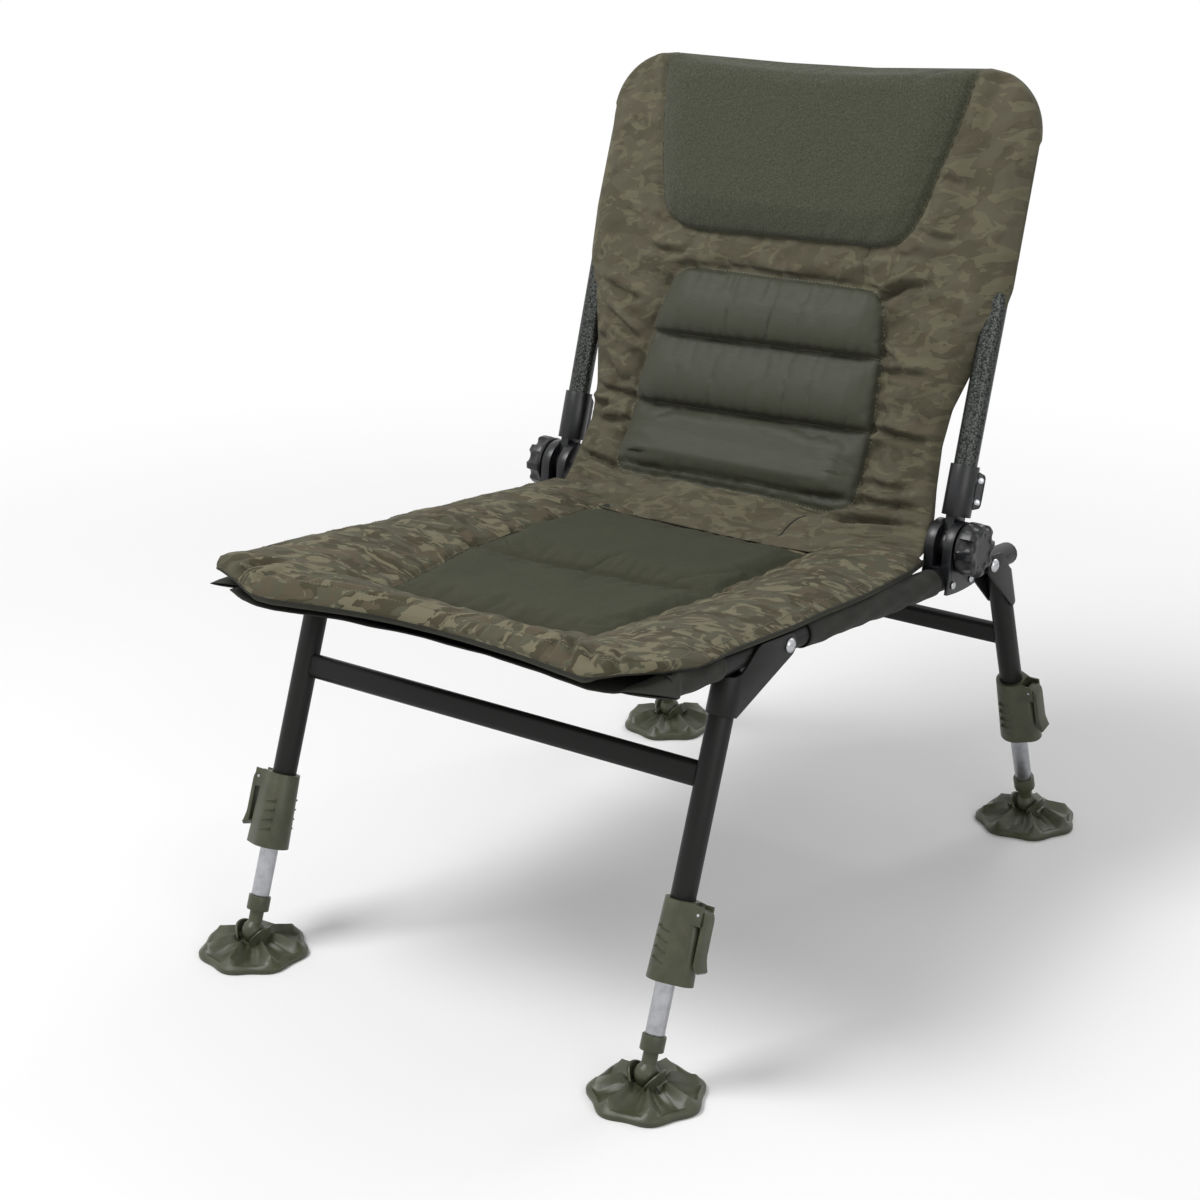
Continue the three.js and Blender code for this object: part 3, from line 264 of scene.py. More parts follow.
def camouflage(name, base, contrast, scale, turn, streaks):
    """Patches of three tones on a base; contrast 1 is the seat's, scale is patches a metre, and the
    patches are longest along a line that is turned by -turn from the cloth's own x."""
    cloth = Shader(name, base, 0.85, Sheen_Weight=0.03, Sheen_Roughness=0.5, Specular_IOR_Level=0.2)
    where = cloth.place("UV")
    flat = cloth.stretch(cloth.stretch(where, (1, 1, 1), turn), (scale, scale * 1.9, 1))
    patches = [cloth.noise(flat, size, 2.2, 0.45, warp, seed).step(level, level + 0.010)
               for size, warp, seed, level, _ in PATCHES]
    ridge = (cloth.noise(flat, 0.7, 1.5, 0.4, 1.1, 17.0) - 0.5).abs()
    streak = (1 - ridge.step(0.006, 0.012)) * cloth.noise(flat, 1.7, 1, 0.5, 0, 23.0).step(0.52, 0.55)
    color = base
    for patch, (*_, tone) in zip(patches, PATCHES):
        color = cloth.mix(patch * contrast, color, tone)
    color = cloth.mix(streak * streaks, color, STREAK_TONE)
    fade = cloth.noise(where, 14, 3, 0.6, 0, 2.0)
    color = cloth.mix(fade * 0.2, color, FADE_TONE)
    x, y, _ = cloth.parts(where)
    weave = ((x + y) * WEAVE_TURN).sin() * ((x - y) * WEAVE_TURN).sin()
    fuzz = cloth.noise(where, 900, 1, 0.5)
    cloth.set("Base Color", color)
    cloth.set("Roughness", 0.8 + patches[2] * 0.1 - patches[1] * 0.08)
    soft = cloth.noise(where, 60, 3, 0.55, 0.6, 4.0)
    cloth.bump(weave * 0.06 + fuzz * 0.2 + soft * 1.1, 0.0012)
    return cloth


camo_seat = camouflage("camouflage_seat", "515040", 1.0, 27, -0.6, 0.7)
camo_back = camouflage("camouflage_back", "595647", 0.5, 27, -0.2, 0.1)
print("camouflage nodes:", len(camo_seat.tree.nodes), "and", len(camo_back.tree.nodes))

# %% [markdown]
# ## Plain cloths
# The middle of the seat is a tight mesh, the lower back a smooth satin, the head panel a fleece, and
# the edges and the cloth under the seat a plain weave. Each gets the grain it really has: dots,
# cross ribs, speckle or threads.

# %% Plain cloth materials
MESH_TURN, RIB_TURN, THREAD_TURN, YARN_TURN = 3600, 5200, 4500, 9000


def mesh_cloth():
    """Holes in rows and columns: the product of a sine across and one along, dark and deep where high."""
    cloth = Shader("mesh_cloth", "47483a", 0.9, Sheen_Weight=0.02, Specular_IOR_Level=0.2)
    x, y, _ = cloth.parts(cloth.place("UV"))
    dots = (x * MESH_TURN).sin() * (y * MESH_TURN).sin()
    shade = cloth.noise(cloth.place("UV"), 18, 3, 0.6)
    yarns = cloth.mix(shade, "4a4b3b", "404133")
    cloth.set("Base Color", cloth.mix(dots.step(0.1, 0.9) * 0.5, yarns, "313227"))
    cloth.bump(dots * -1, 0.0004, 0.8)
    return cloth


def satin_cloth():
    """Fine ribs across the panel, yarns that are thicker here and there, and a few soft folds."""
    cloth = Shader("satin_cloth", "3e3f31", 0.5, Sheen_Weight=0.05, Sheen_Roughness=0.35,
                   Specular_IOR_Level=0.22)
    where = cloth.place("UV")
    x, y, _ = cloth.parts(where)
    ribs = (y * RIB_TURN).sin() * 0.5 + (x * RIB_TURN).sin() * 0.25
    slub = cloth.noise(cloth.stretch(where, (40, 900, 1)), 1.0, 2, 0.6)
    cloth.set("Base Color", cloth.mix(slub * 0.6, "414236", "34352a"))
    cloth.set("Roughness", 0.44 + slub * 0.2)
    folds = cloth.noise(cloth.stretch(where, (45, 16, 1)), 1.0, 2, 0.5, 0.4)
    cloth.bump(ribs * 0.05 + slub * 0.12 + folds * 0.5, 0.001)
    return cloth


def fleece_cloth():
    """A speckle of small curls on larger tufts, both in the colour and in the bump."""
    cloth = Shader("fleece_cloth", "454739", 0.95, Sheen_Weight=0.08, Sheen_Roughness=0.6,
                   Specular_IOR_Level=0.25)
    where = cloth.place("UV")
    curls = cloth.noise(where, 520, 3, 0.7, 0.8)
    tufts = cloth.noise(where, 130, 2, 0.6)
    color = cloth.mix(curls.step(0.35, 0.7), "363829", "535546")
    cloth.set("Base Color", cloth.mix(tufts * 0.35, color, "45473a"))
    cloth.bump(curls + tufts * 1.5, 0.0016, 0.9)
    return cloth


def plain_cloth(name, color, deep, roughness=0.85):
    """A plain weave, worn in places: the threads are a sine of x + z times a sine of y - z."""
    cloth = Shader(name, color, roughness, Sheen_Weight=0.03, Specular_IOR_Level=0.25)
    where = cloth.place("Object")
    x, y, z = cloth.parts(where)
    threads = ((x + z) * THREAD_TURN).sin() * ((y - z) * THREAD_TURN).sin()
    wear = cloth.noise(where, 30, 3, 0.6)
    cloth.set("Base Color", cloth.mix(wear.step(0.3, 0.7), color, deep))
    cloth.bump(threads * 0.05 + wear * 0.5, 0.001)
    return cloth


mesh_middle, satin_panel, fleece_panel = mesh_cloth(), satin_cloth(), fleece_cloth()
edge_cloth = plain_cloth("edge_cloth", "36362b", "2b2b22")
under_cloth = plain_cloth("under_cloth", "2b2c26", "20211c", 0.75)


def yarn(name, color, deep):
    """Twisted thread: fine slanted ridges, a sine of x + y + z."""
    cloth = Shader(name, color, 0.7, Specular_IOR_Level=0.3)
    x, y, z = cloth.parts(cloth.place())
    twist = ((x + y + z) * YARN_TURN).sin()
    cloth.set("Base Color", cloth.mix(twist.step(-0.4, 0.6), deep, color))
    cloth.bump(twist, 0.0002, 0.6)
    return cloth


light_thread, dark_thread, cord_cloth, dark_cord = (yarn(*look) for look in (
    ("light_thread", "8a8873", "66654f"), ("dark_thread", "25261e", "1b1c16"),
    ("cord_cloth", "5d5b49", "4a4838"), ("dark_cord", "26261e", "1d1d17")))
print("cloths and yarns so far:", len(bpy.data.materials))

# %% [markdown]
# ## Paint, metal and plastic
# The frame has a fine-textured powder paint, the back tube a hammered silver-black, the inner legs are
# bare drawn aluminium and the fittings moulded plastic. They read Object coordinates, so a pattern
# stays still when a joint moves.

# %% Hard materials
def textured_paint(name, color, deep, roughness=0.5):
    """Powder paint: a grain of about a millimetre in the colour, the roughness and the bump."""
    paint = Shader(name, color, roughness, Specular_IOR_Level=0.22)
    where = paint.place()
    grain = paint.noise(where, 900, 2, 0.6)
    wide = paint.noise(where, 25, 2, 0.5)
    paint.set("Base Color", paint.mix(grain.step(0.4, 0.7) * 0.5 + wide * 0.3, deep, color))
    paint.set("Roughness", roughness - 0.08 + grain * 0.18)
    paint.bump(grain, 0.0003, 0.55)
    return paint


def hammered_paint():
    """Small round cells, bright in their middles and dark where they meet."""
    paint = Shader("hammered_paint", "4a4d4b", 0.34, Metallic=0.85)
    where = paint.place()
    inputs = {"Vector": where, "Scale": 520, "Randomness": 1.0}
    cells = paint.node("TexVoronoi", inputs, feature="SMOOTH_F1")
    paint.set("Base Color", paint.mix(cells.step(0.15, 0.7), "515451", "252826"))
    paint.set("Roughness", 0.26 + cells * 0.2)
    paint.bump(cells * -1, 0.0006, 0.8)
    return paint


def moulded(name, color, deep, roughness, grain_size=1400):
    """Moulded plastic: a very fine grain and wide patches that are a little duller."""
    plastic = Shader(name, color, roughness, IOR=1.47)
    where = plastic.place()
    grain = plastic.noise(where, grain_size, 2, 0.5)
    wear = plastic.noise(where, 60, 3, 0.6)
    plastic.set("Base Color", plastic.mix(wear.step(0.3, 0.75), deep, color))
    plastic.set("Roughness", roughness - 0.06 + wear * 0.12)
    plastic.bump(grain, 0.00012, 0.5)
    return plastic


def drawn_aluminium():
    """Bare tube: fine lines along Z from drawing, and cloudy marks from sliding in the collar."""
    metal = Shader("drawn_aluminium", "a9aaae", 0.3, Metallic=1.0)
    where = metal.place()
    lines = metal.noise(metal.stretch(where, (2600, 2600, 40)), 1.0, 2, 0.6)
    marks = metal.noise(where, 90, 4, 0.65)
    metal.set("Base Color", metal.mix(marks.step(0.35, 0.75) * 0.6, "b2b3b7", "86888c"))
    metal.set("Roughness", 0.26 + lines * 0.14)
    metal.bump(lines, 0.00006, 0.6)
    return metal


def bright_zinc():
    """Plated screws and pins: bright, with small cloudy marks."""
    metal = Shader("bright_zinc", "b9bbbe", 0.28, Metallic=1.0)
    marks = metal.noise(metal.place(), 500, 3, 0.6)
    metal.set("Roughness", 0.2 + marks * 0.18)
    metal.bump(marks, 0.00008, 0.5)
    return metal


frame_paint = textured_paint("frame_paint", "1f211e", "141513", 0.42)
back_paint = hammered_paint()
black_plastic = moulded("black_plastic", "141518", "0d0e10", 0.34)
olive_plastic = moulded("olive_plastic", "474936", "3a3c2b", 0.42)
aluminium, zinc = drawn_aluminium(), bright_zinc()
print("materials so far:", len(bpy.data.materials))

# %% [markdown]
# ## Finishing the frame's own pieces
# Most of the hard pieces already have their true shape. Their meshes stay as they are: three
# modifiers weld the loose triangles, round the sharp edges by a fraction of a millimetre, and shade
# the curved faces smoothly while the real corners stay crisp.

# %% Smoothing modifier
def smooth_by_angle(limit):
    """A node group that shades faces smooth and keeps an edge sharp where its faces meet past limit."""
    group = bpy.data.node_groups.new("smooth_by_angle", "GeometryNodeTree")
    group.interface.new_socket("Geometry", in_out="INPUT", socket_type="NodeSocketGeometry")
    group.interface.new_socket("Geometry", in_out="OUTPUT", socket_type="NodeSocketGeometry")
    made = {kind: group.nodes.new(kind) for kind in (
        "NodeGroupInput", "GeometryNodeInputMeshEdgeAngle", "FunctionNodeCompare", "NodeGroupOutput")}
    faces, edges = (group.nodes.new("GeometryNodeSetShadeSmooth") for _ in range(2))
    edges.domain = "EDGE"
    compare = made["FunctionNodeCompare"]
    compare.operation = "LESS_THAN"
    compare.inputs[1].default_value = limit
    link = group.links.new
    link(made["NodeGroupInput"].outputs[0], faces.inputs["Geometry"])
    link(faces.outputs["Geometry"], edges.inputs["Geometry"])
    link(made["GeometryNodeInputMeshEdgeAngle"].outputs["Unsigned Angle"], compare.inputs[0])
    link(compare.outputs[0], edges.inputs["Shade Smooth"])
    link(edges.outputs["Geometry"], made["NodeGroupOutput"].inputs[0])
    return group


SMOOTHER = smooth_by_angle(math.radians(34))


def dress(node, shader, edge=0.0):
    """Gives a CAD piece its material, rounded edges and smooth shading."""
    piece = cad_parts[node]
    if not piece.material_slots:
        piece.data.materials.append(shader.material)
    for material_slot in piece.material_slots:
        material_slot.link = "OBJECT"
        material_slot.material = shader.material
    weld = piece.modifiers.new("weld", "WELD")
    weld.merge_threshold = 0.00001
    if edge:
        bevel = piece.modifiers.new("edge", "BEVEL")
        bevel.width, bevel.segments, bevel.limit_method = edge, 2, "ANGLE"
        bevel.angle_limit, bevel.harden_normals = math.radians(38), False
        bevel.use_clamp_overlap = True
    piece.modifiers.new("smooth", "NODES").node_group = SMOOTHER


LEGS = [f"{end}_{side}" for end in ("front", "rear") for side in ("left", "right")]
SIDES = {"left": -1, "right": 1}
FINISHES = [
    (frame_paint, 0.0004, [f"{s}_seat_rail" for s in SIDES] + ["front_crossbar", "rear_crossbar"]
     + [f"{leg}_{part}" for leg in LEGS for part in ("leg_tube", "leg_bracket")]),
    (back_paint, 0.0, ["back_frame"]),
    (black_plastic, 0.0006, [f"{s}_{part}" for s in SIDES
                             for part in ("rail_cap", "hinge_base", "hinge_arm", "hinge_knob")]),
    (zinc, 0.0003, [f"{s}_hinge_pin" for s in SIDES]
     + [f"{leg}_{part}" for leg in LEGS for part in ("pivot_bolt", "lever_pin", "cup_screw")]),
    (aluminium, 0.0002, [f"{leg}_inner_leg" for leg in LEGS]),
    (olive_plastic, 0.0006, [f"{leg}_{part}" for leg in LEGS
                             for part in ("lock_collar", "lock_lever", "ball_end", "mud_foot")]),
]
for shader, edge, nodes in FINISHES:
    for node in nodes:
        dress(node, shader, edge)
print("dressed", sum(len(nodes) for _, _, nodes in FINISHES), "frame pieces")

# %% [markdown]
# ## Grids into meshes
# Everything soft on the chair is a sheet of cloth, and a grid of points with rows and columns is the
# simplest sheet: every four neighbours make a face. Blender's operators could add and bend a plane,
# but numpy works out all points at once, and foreach_set puts them into the mesh as they are.

# %% Mesh from arrays
def new_piece(name, points, quads, materials, faces=None, uvs=None):
    """A mesh piece from points and four-cornered faces; faces is a material number for each face, and
    uvs a place on the cloth for each point."""
    mesh = bpy.data.meshes.new(name)
    mesh.vertices.add(len(points))
    mesh.vertices.foreach_set("co", np.asarray(points, np.float32).ravel())
    mesh.loops.add(quads.size)
    mesh.loops.foreach_set("vertex_index", quads.astype(np.int32).ravel())
    mesh.polygons.add(len(quads))
    mesh.polygons.foreach_set("loop_start", np.arange(len(quads), dtype=np.int32) * 4)
    mesh.polygons.foreach_set("use_smooth", np.ones(len(quads), bool))
    if faces is not None:
        mesh.polygons.foreach_set("material_index", faces.astype(np.int32))
    if uvs is not None:
        corners = uvs[quads.ravel()].astype(np.float32)
        mesh.uv_layers.new(name="cloth").data.foreach_set("uv", corners.ravel())
    for shader in materials:
        mesh.materials.append(shader.material)
    mesh.update(calc_edges=True)
    mesh.validate()
    piece = bpy.data.objects.new(name, mesh)
    scene.collection.objects.link(piece)
    return piece


def grid_quads(rows, columns, start=0, close=False):
    """Corner numbers of the faces of a rows by columns grid; close joins the last column to the first."""
    r, c = np.meshgrid(np.arange(rows - 1), np.arange(columns if close else columns - 1), indexing="ij")
    here, above, d = r * columns, (r + 1) * columns, (c + 1) % columns
    return start + np.stack([here + c, here + d, above + d, above + c], -1).reshape(-1, 4)


def rim_walk(rows, columns):
    """Row and column numbers once round the rim of a grid, against the clock."""
    last_row, last_column = rows - 1, columns - 1
    r = np.concatenate([np.zeros(last_column), np.arange(last_row), np.full(last_column, last_row),
                        np.arange(last_row, 0, -1)])
    c = np.concatenate([np.arange(last_column), np.full(last_row, last_column),
                        np.arange(last_column, 0, -1), np.zeros(last_row)])
    return r.astype(int), c.astype(int)


def refine(grid, axis):
    """Twice as many points along an axis; a new one is (9(b + c) - (a + d)) / 16 of its four neighbours."""
    g = np.moveaxis(grid, axis, 0)
    padded = np.concatenate([2 * g[:1] - g[1:2], g, 2 * g[-1:] - g[-2:-1]])
    between = (9 * (padded[1:-2] + padded[2:-1]) - padded[:-3] - padded[3:]) / 16
    out = np.empty((2 * len(g) - 1, *g.shape[1:]))
    out[::2], out[1::2] = g, between
    return np.moveaxis(out, 0, axis)


print("a grid of 3 by 4 points has", len(grid_quads(3, 4)), "faces and a rim of", len(rim_walk(3, 4)[0]))

# %% [markdown]
# ## A cushion as two grids and a band
# A real cushion is a top cloth, a bottom cloth and often a band between them. Solidify could thicken
# one sheet, but here top and bottom differ, so a pad keeps two grids whose rims are joined by a band of
# more rows. The rim is walked once round, so that the band closes on itself.

# %% Pad
# On the flat cloth a row of a cushion's band lies this much beyond the row above it.
BAND_STEP = 0.003


class Pad:
    """A closed cushion: a top grid, a bottom grid and a band of rows round the rim between them."""

    def __init__(self, top, bottom, u, v, band_rows, band_bulge):
        """The band's point is a straight share from top to bottom, pushed out by bulge * 4t(1 - t)."""
        self.top, self.bottom, self.u, self.v = top, bottom, u, v
        r, c = rim_walk(*top.shape[:2])
        high, low = top[r, c], bottom[r, c]
        middle = (high + low) / 2
        along = np.roll(middle, -1, 0) - np.roll(middle, 1, 0)
        out = np.cross(along, high - low)
        out /= np.linalg.norm(out, axis=1, keepdims=True) + 1e-9
        t = (np.arange(1, band_rows + 1) / (band_rows + 1))[:, None, None]
        self.band = mix(high, low, t) + out * band_bulge * 4 * t * (1 - t)

    def arrays(self):
        """All points, faces, face kinds (0 top, 1 to 2 down the band, 2 bottom) and places on the cloth."""
        rows, columns = self.top.shape[:2]
        r, c = rim_walk(rows, columns)
        count = rows * columns
        top_rim = r * columns + c
        ring = len(r)
        points = np.concatenate([part.reshape(-1, 3) for part in (self.top, self.bottom, self.band)])
        rings = [2 * count + k * ring + np.arange(ring) for k in range(len(self.band))]
        loops = [top_rim, *rings, count + top_rim]
        side = np.concatenate([np.stack([a, b, np.roll(b, -1), np.roll(a, -1)], -1)
                               for a, b in zip(loops[:-1], loops[1:])])
        quads = grid_quads(rows, columns)
        quads = np.concatenate([quads, side, quads[:, ::-1] + count])
        strips = (np.arange(len(side)) // ring + 0.5) / (len(self.band) + 1)
        kinds = np.concatenate([np.zeros((rows - 1) * (columns - 1)), 1 + strips,
                                np.full((rows - 1) * (columns - 1), 2)])
        flat = np.stack([self.u.ravel(), self.v.ravel()], -1)
        drop = np.arange(1, len(self.band) + 1)[:, None, None] * BAND_STEP
        edge = np.broadcast_to(flat[top_rim], (len(self.band), ring, 2)) + drop
        return points, quads, kinds, np.concatenate([flat, flat, edge.reshape(-1, 2)])

    def take(self, points):
        """Puts moved points back into the grids."""
        count = self.u.size
        self.top = points[:count].reshape(self.top.shape)
        self.bottom = points[count:2 * count].reshape(self.top.shape)
        self.band = points[2 * count:].reshape(self.band.shape)

    def finer(self):
        """Doubles the points of every grid."""
        closed = np.concatenate([self.band, self.band[:, :1]], 1)
        for name in ("top", "bottom", "u", "v"):
            setattr(self, name, refine(refine(getattr(self, name), 0), 1))
        self.band = refine(closed, 1)[:, :-1]
        rim = rim_walk(*self.top.shape[:2])
        stack = np.concatenate([self.top[rim][None], self.band, self.bottom[rim][None]])
        self.band = refine(stack, 0)[1:-1]

    def normals(self):
        """Outward direction at every point of the top grid, from the cross product of its two edges."""
        n = np.cross(np.gradient(self.top, axis=1), np.gradient(self.top, axis=0))
        return n / (np.linalg.norm(n, axis=-1, keepdims=True) + 1e-12)

    def at(self, x, y):
        """Points and outward directions at places (x, y) of the cloth: the nearest grid point, corrected
        by the steps (dr, dc) that solve the 2 by 2 system of the grid's own slopes."""
        x, y = np.atleast_1d(x), np.atleast_1d(y)
        flat = (self.u.ravel()[None] - x[:, None]) ** 2 + (self.v.ravel()[None] - y[:, None]) ** 2
        r, c = np.unravel_index(flat.argmin(1), self.u.shape)
        (u_r, u_c), (v_r, v_c) = np.gradient(self.u), np.gradient(self.v)
        du, dv = x - self.u[r, c], y - self.v[r, c]
        area = u_c[r, c] * v_r[r, c] - u_r[r, c] * v_c[r, c]
        dc = np.clip((du * v_r[r, c] - dv * u_r[r, c]) / area, -1, 1)[:, None]
        dr = np.clip((dv * u_c[r, c] - du * v_c[r, c]) / area, -1, 1)[:, None]
        place = self.top[r, c]
        for axis, step in ((0, dr), (1, dc)):
            place = place + np.gradient(self.top, axis=axis)[r, c] * step
        return place, self.normals()[r, c]


# %% [markdown]
# ## Rods and closed shapes
# Stitches, pipings, knobs and rivets are all rows of rings: a profile carried along a path or turned
# about an axis. Curve objects with a bevel could make the rods, but their rings turn by Blender's own
# rule; here each ring faces out from the cloth, and knobs and rivets use the same few functions. A
# strip of faces closes each end, and a sum over the faces tells whether they point outwards.

# %% Rods and loose parts
def faced_out(points, quads):
    """Turns all faces round if the volume they enclose, a sum of a . (b x c + c x d) / 6, is negative."""
    a, b, c, d = (points[quads[:, k]] - points.mean(0) for k in range(4))
    volume = np.sum(a * (np.cross(b, c) + np.cross(c, d))) / 6
    return points, quads if volume > 0 else quads[:, ::-1]


def closed_quads(rows, columns):
    """Faces of a grid whose last column joins its first, with a strip of faces over each end."""
    k = np.arange(columns // 2 - 1)
    strip = np.stack([k, k + 1, columns - 2 - k, columns - 1 - k], -1)
    skin = grid_quads(rows, columns, close=True)
    return np.concatenate([skin, strip[:, ::-1], strip + (rows - 1) * columns])


def looped(grid):
    """Points and faces of a closed shape from rows of rings."""
    return faced_out(grid.reshape(-1, 3), closed_quads(*grid.shape[:2]))


def rods(points, outward, radii, sides=6):
    """Rods whose rings stand at points (rod, ring, 3), with one radius a ring: arrays for new_piece."""
    way = np.gradient(points, axis=1)
    across = np.cross(way, outward)
    across /= np.linalg.norm(across, axis=-1, keepdims=True) + 1e-12
    up = np.cross(across, way)
    up /= np.linalg.norm(up, axis=-1, keepdims=True) + 1e-12
    a = np.linspace(0, 2 * math.pi, sides, endpoint=False)[:, None]
    ring = across[:, :, None] * np.cos(a) + up[:, :, None] * np.sin(a)
    shell = points[:, :, None] + ring * np.asarray(radii)[None, :, None, None]
    first = np.arange(len(points))[:, None, None] * points.shape[1] * sides
    quads = closed_quads(points.shape[1], sides)[None] + first
    return faced_out(shell.reshape(-1, 3), quads.reshape(-1, 4))


def joined(parts):
    """One set of points and faces from several."""
    starts = np.cumsum([0] + [len(points) for points, _ in parts[:-1]])
    return (np.concatenate([points for points, _ in parts]),
            np.concatenate([quads + start for (_, quads), start in zip(parts, starts)]))


print("a rod with two rings of six points has", len(closed_quads(2, 6)), "faces")

# %% [markdown]
# ## Mud feet
# A mud foot is a moulded lobed shell: from the cup a raised tent runs to every lobe, widening on its
# way to the thick rim. Two curved wings hold the ball, and a boss beside it takes the clamp screw. The
# shell is a height over a disc, which a sculpted mesh could also be, but a formula keeps all seven
# lobes alike. A foot is worked out about its own middle and carried to its place.

# %% Mud feet
FOOT_Y, FOOT_RADIUS, FOOT_LOBES, LOBE_NOTCH = 0.381, 0.057, 7, 0.0048
SHELL_HEIGHT, CROWN_HEIGHT, TENT_HEIGHT, RIM_ROLL, LOBE_DIP = 0.0062, 0.009, 0.0088, 0.0016, 0.0030
# Rows under the rim, each (how far outside the rim, height): down, round and in under it.
RIM_ROWS = [(0.0009, 0.0052), (0.0009, 0.0018), (0.0, 0.0002), (-0.006, 0.0)]
CUP_RADIUS, CUP_WALL, CUP_FOOT, CUP_TOP, CUP_SHOULDER = 0.0175, 0.0027, 0.009, 0.0315, 0.0115
WING_ANGLE = math.radians(61)
BALL_HEIGHT, BOSS_OUT, SCREW_DROP = 0.024, 0.015, 0.010
# Half of the boss's outline, from the screw's head out and round to the side: (along Y, radius).
BOSS_OUTLINE = [(0.0045, 0.0036), (0.0078, 0.0038), (0.0082, 0.0052), (0.0076, 0.0061)]


def foot_shell():
    """Height over (share of the radius, angle): a crown, tents of half width 0.10 + 0.46 share of a
    lobe's half, a crease beside each, a dip between them, and a rolled rim."""
    a = np.linspace(0, 2 * math.pi, 154, endpoint=False)[None, :]
    share = np.linspace(0.05, 1, 34)[:, None]
    phase = np.mod(a * FOOT_LOBES / (2 * math.pi), 1)
    off = 2 * np.minimum(phase, 1 - phase)
    spread = 0.10 + 0.46 * share
    run = smooth(share, 0.24, 0.44) * (1 - smooth(share, 0.84, 0.99))
    tent = TENT_HEIGHT * np.clip(1 - off / spread, 0, 1) ** 0.8 * run
    fold = 0.0014 * np.exp(-((off - spread) / 0.05) ** 2) * run
    roll = RIM_ROLL * np.exp(-((share - 0.95) / 0.035) ** 2)
    dip = LOBE_DIP * smooth(off, 0.45, 1) * np.sin(math.pi * share) ** 2
    height = SHELL_HEIGHT + CROWN_HEIGHT * (1 - smooth(share, 0.3, 1)) + tent + fold + roll - dip
    radius = FOOT_RADIUS - LOBE_NOTCH * (0.5 - 0.5 * np.cos(math.pi * off)) + 0 * share
    rows = [np.stack([radius * share * np.cos(a), radius * share * np.sin(a), height + 0 * a], -1)]
    for grow, level in RIM_ROWS:
        edge = (radius[-1:] + grow) * np.ones_like(a)
        rows.append(np.stack([edge * np.cos(a), edge * np.sin(a), level + 0 * a], -1))
    return looped(np.concatenate(rows))


def foot_wing(sign):
    """Half of the cup: a curved wall whose top is highest in its middle, with a rounded edge."""
    t, s = np.linspace(0, 1, 14)[:, None], np.linspace(-1, 1, 25)[None, :]
    a = WING_ANGLE * s
    top = CUP_TOP - CUP_SHOULDER * np.abs(s) ** 2.2
    z = mix(CUP_FOOT, top, t)
    outer = CUP_RADIUS + 0.0012 * t ** 2 + 0 * s

    def wall(radius):
        """Points at a radius, over the angle and the height."""
        return np.stack([sign * radius * np.cos(a), radius * np.sin(a) + 0 * t, z], -1)

    pad = Pad(wall(outer), wall(outer - CUP_WALL), a + 0 * t, z, 2, 0.0006)
    return faced_out(*pad.arrays()[:2])


def foot_boss():
    """The screw's boss along Y: a rounded barrel that turns in at both ends round the screw's head."""
    half = np.array(BOSS_OUTLINE)
    y, radii = np.hsplit(np.concatenate([half * (-1, 1), half[::-1]]), 2)
    turn = np.linspace(0, 2 * math.pi, 24, endpoint=False)[None, :]
    across, height = BOSS_OUT + radii * np.cos(turn), BALL_HEIGHT - SCREW_DROP + radii * np.sin(turn)
    return looped(np.stack([across, y + 0 * turn, height], -1))


foot_points, foot_quads = joined([foot_shell(), foot_wing(1), foot_wing(-1), foot_boss()])
for leg in LEGS:
    end, side = leg.split("_")
    sign = SIDES[side]
    points = foot_points * (sign, 1, 1) + (sign * RAIL_X, -FOOT_Y if end == "front" else FOOT_Y, 0)
    quads = foot_quads if sign > 0 else foot_quads[:, ::-1]
    foot = new_piece(f"{leg}_foot_shell", points, quads, [olive_plastic])
    foot.modifiers.new("smooth", "NODES").node_group = SMOOTHER
    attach(foot, f"{leg}_foot")
    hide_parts(f"{leg}_mud_foot")
print("a mud foot has", len(foot_quads), "faces")

# %% [markdown]
# ## Knobs
# A knob is a thick disc that the fingers grip in eight hollows. Each hollow is a lens: it starts on the
# side wall, is deepest where it cuts the rim, and leaves the middle of the face whole. Cutting eight
# cylinders out of a disc gives sharp edges, so the radius of a turned outline is drawn in instead.

# %% Hinge knobs
KNOB_RADIUS, KNOB_HOLLOWS, HOLLOW_DEPTH, HOLLOW_SHARE = 0.029, 8, 0.0054, 0.66
# The outline from the back's middle to the face's: (share of the depth, share of the radius).
KNOB_SHARES = [(0, 0.05), (0, 0.86), (0.03, 0.93), (0.10, 0.97), (0.22, 0.995), (0.36, 1), (0.5, 1),
               (0.64, 1), (0.77, 0.995), (0.87, 0.975), (0.94, 0.93), (0.985, 0.86), (1, 0.78),
               (0.985, 0.68), (0.945, 0.60), (0.93, 0.45), (0.935, 0.25), (0.935, 0.05)]


def knob(side):
    """The outline turned about X; radius = outline - hollow depth * lens(angle) * share on the side."""
    low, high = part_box(f"{side}_hinge_knob")
    sign = SIDES[side]
    start, depth = (low[0], high[0] - low[0]) if sign > 0 else (high[0], low[0] - high[0])
    out, reach = np.hsplit(np.array(KNOB_SHARES), 2)
    a = np.linspace(0, 2 * math.pi, 192, endpoint=False)[None, :]
    off = 2 * np.abs(np.mod(a * KNOB_HOLLOWS / (2 * math.pi), 1) - 0.5)
    lens = np.sqrt(np.clip(1 - (off / HOLLOW_SHARE) ** 2, 0, 1))
    radius = KNOB_RADIUS * reach - HOLLOW_DEPTH * lens * smooth(out, 0.08, 0.6) * smooth(reach, 0.5, 0.78)
    across = start + depth * out + 0 * a
    y, z = HINGE[1] + radius * np.cos(a), HINGE[2] + radius * np.sin(a)
    return new_piece(f"{side}_grip_knob", *looped(np.stack([across, y, z], -1)), [black_plastic])


for side in SIDES:
    piece = knob(side)
    piece.modifiers.new("smooth", "NODES").node_group = SMOOTHER
    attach(piece, f"{side}_knob")
    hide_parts(f"{side}_hinge_knob")
    print(piece.name, "has", len(piece.data.polygons), "faces")

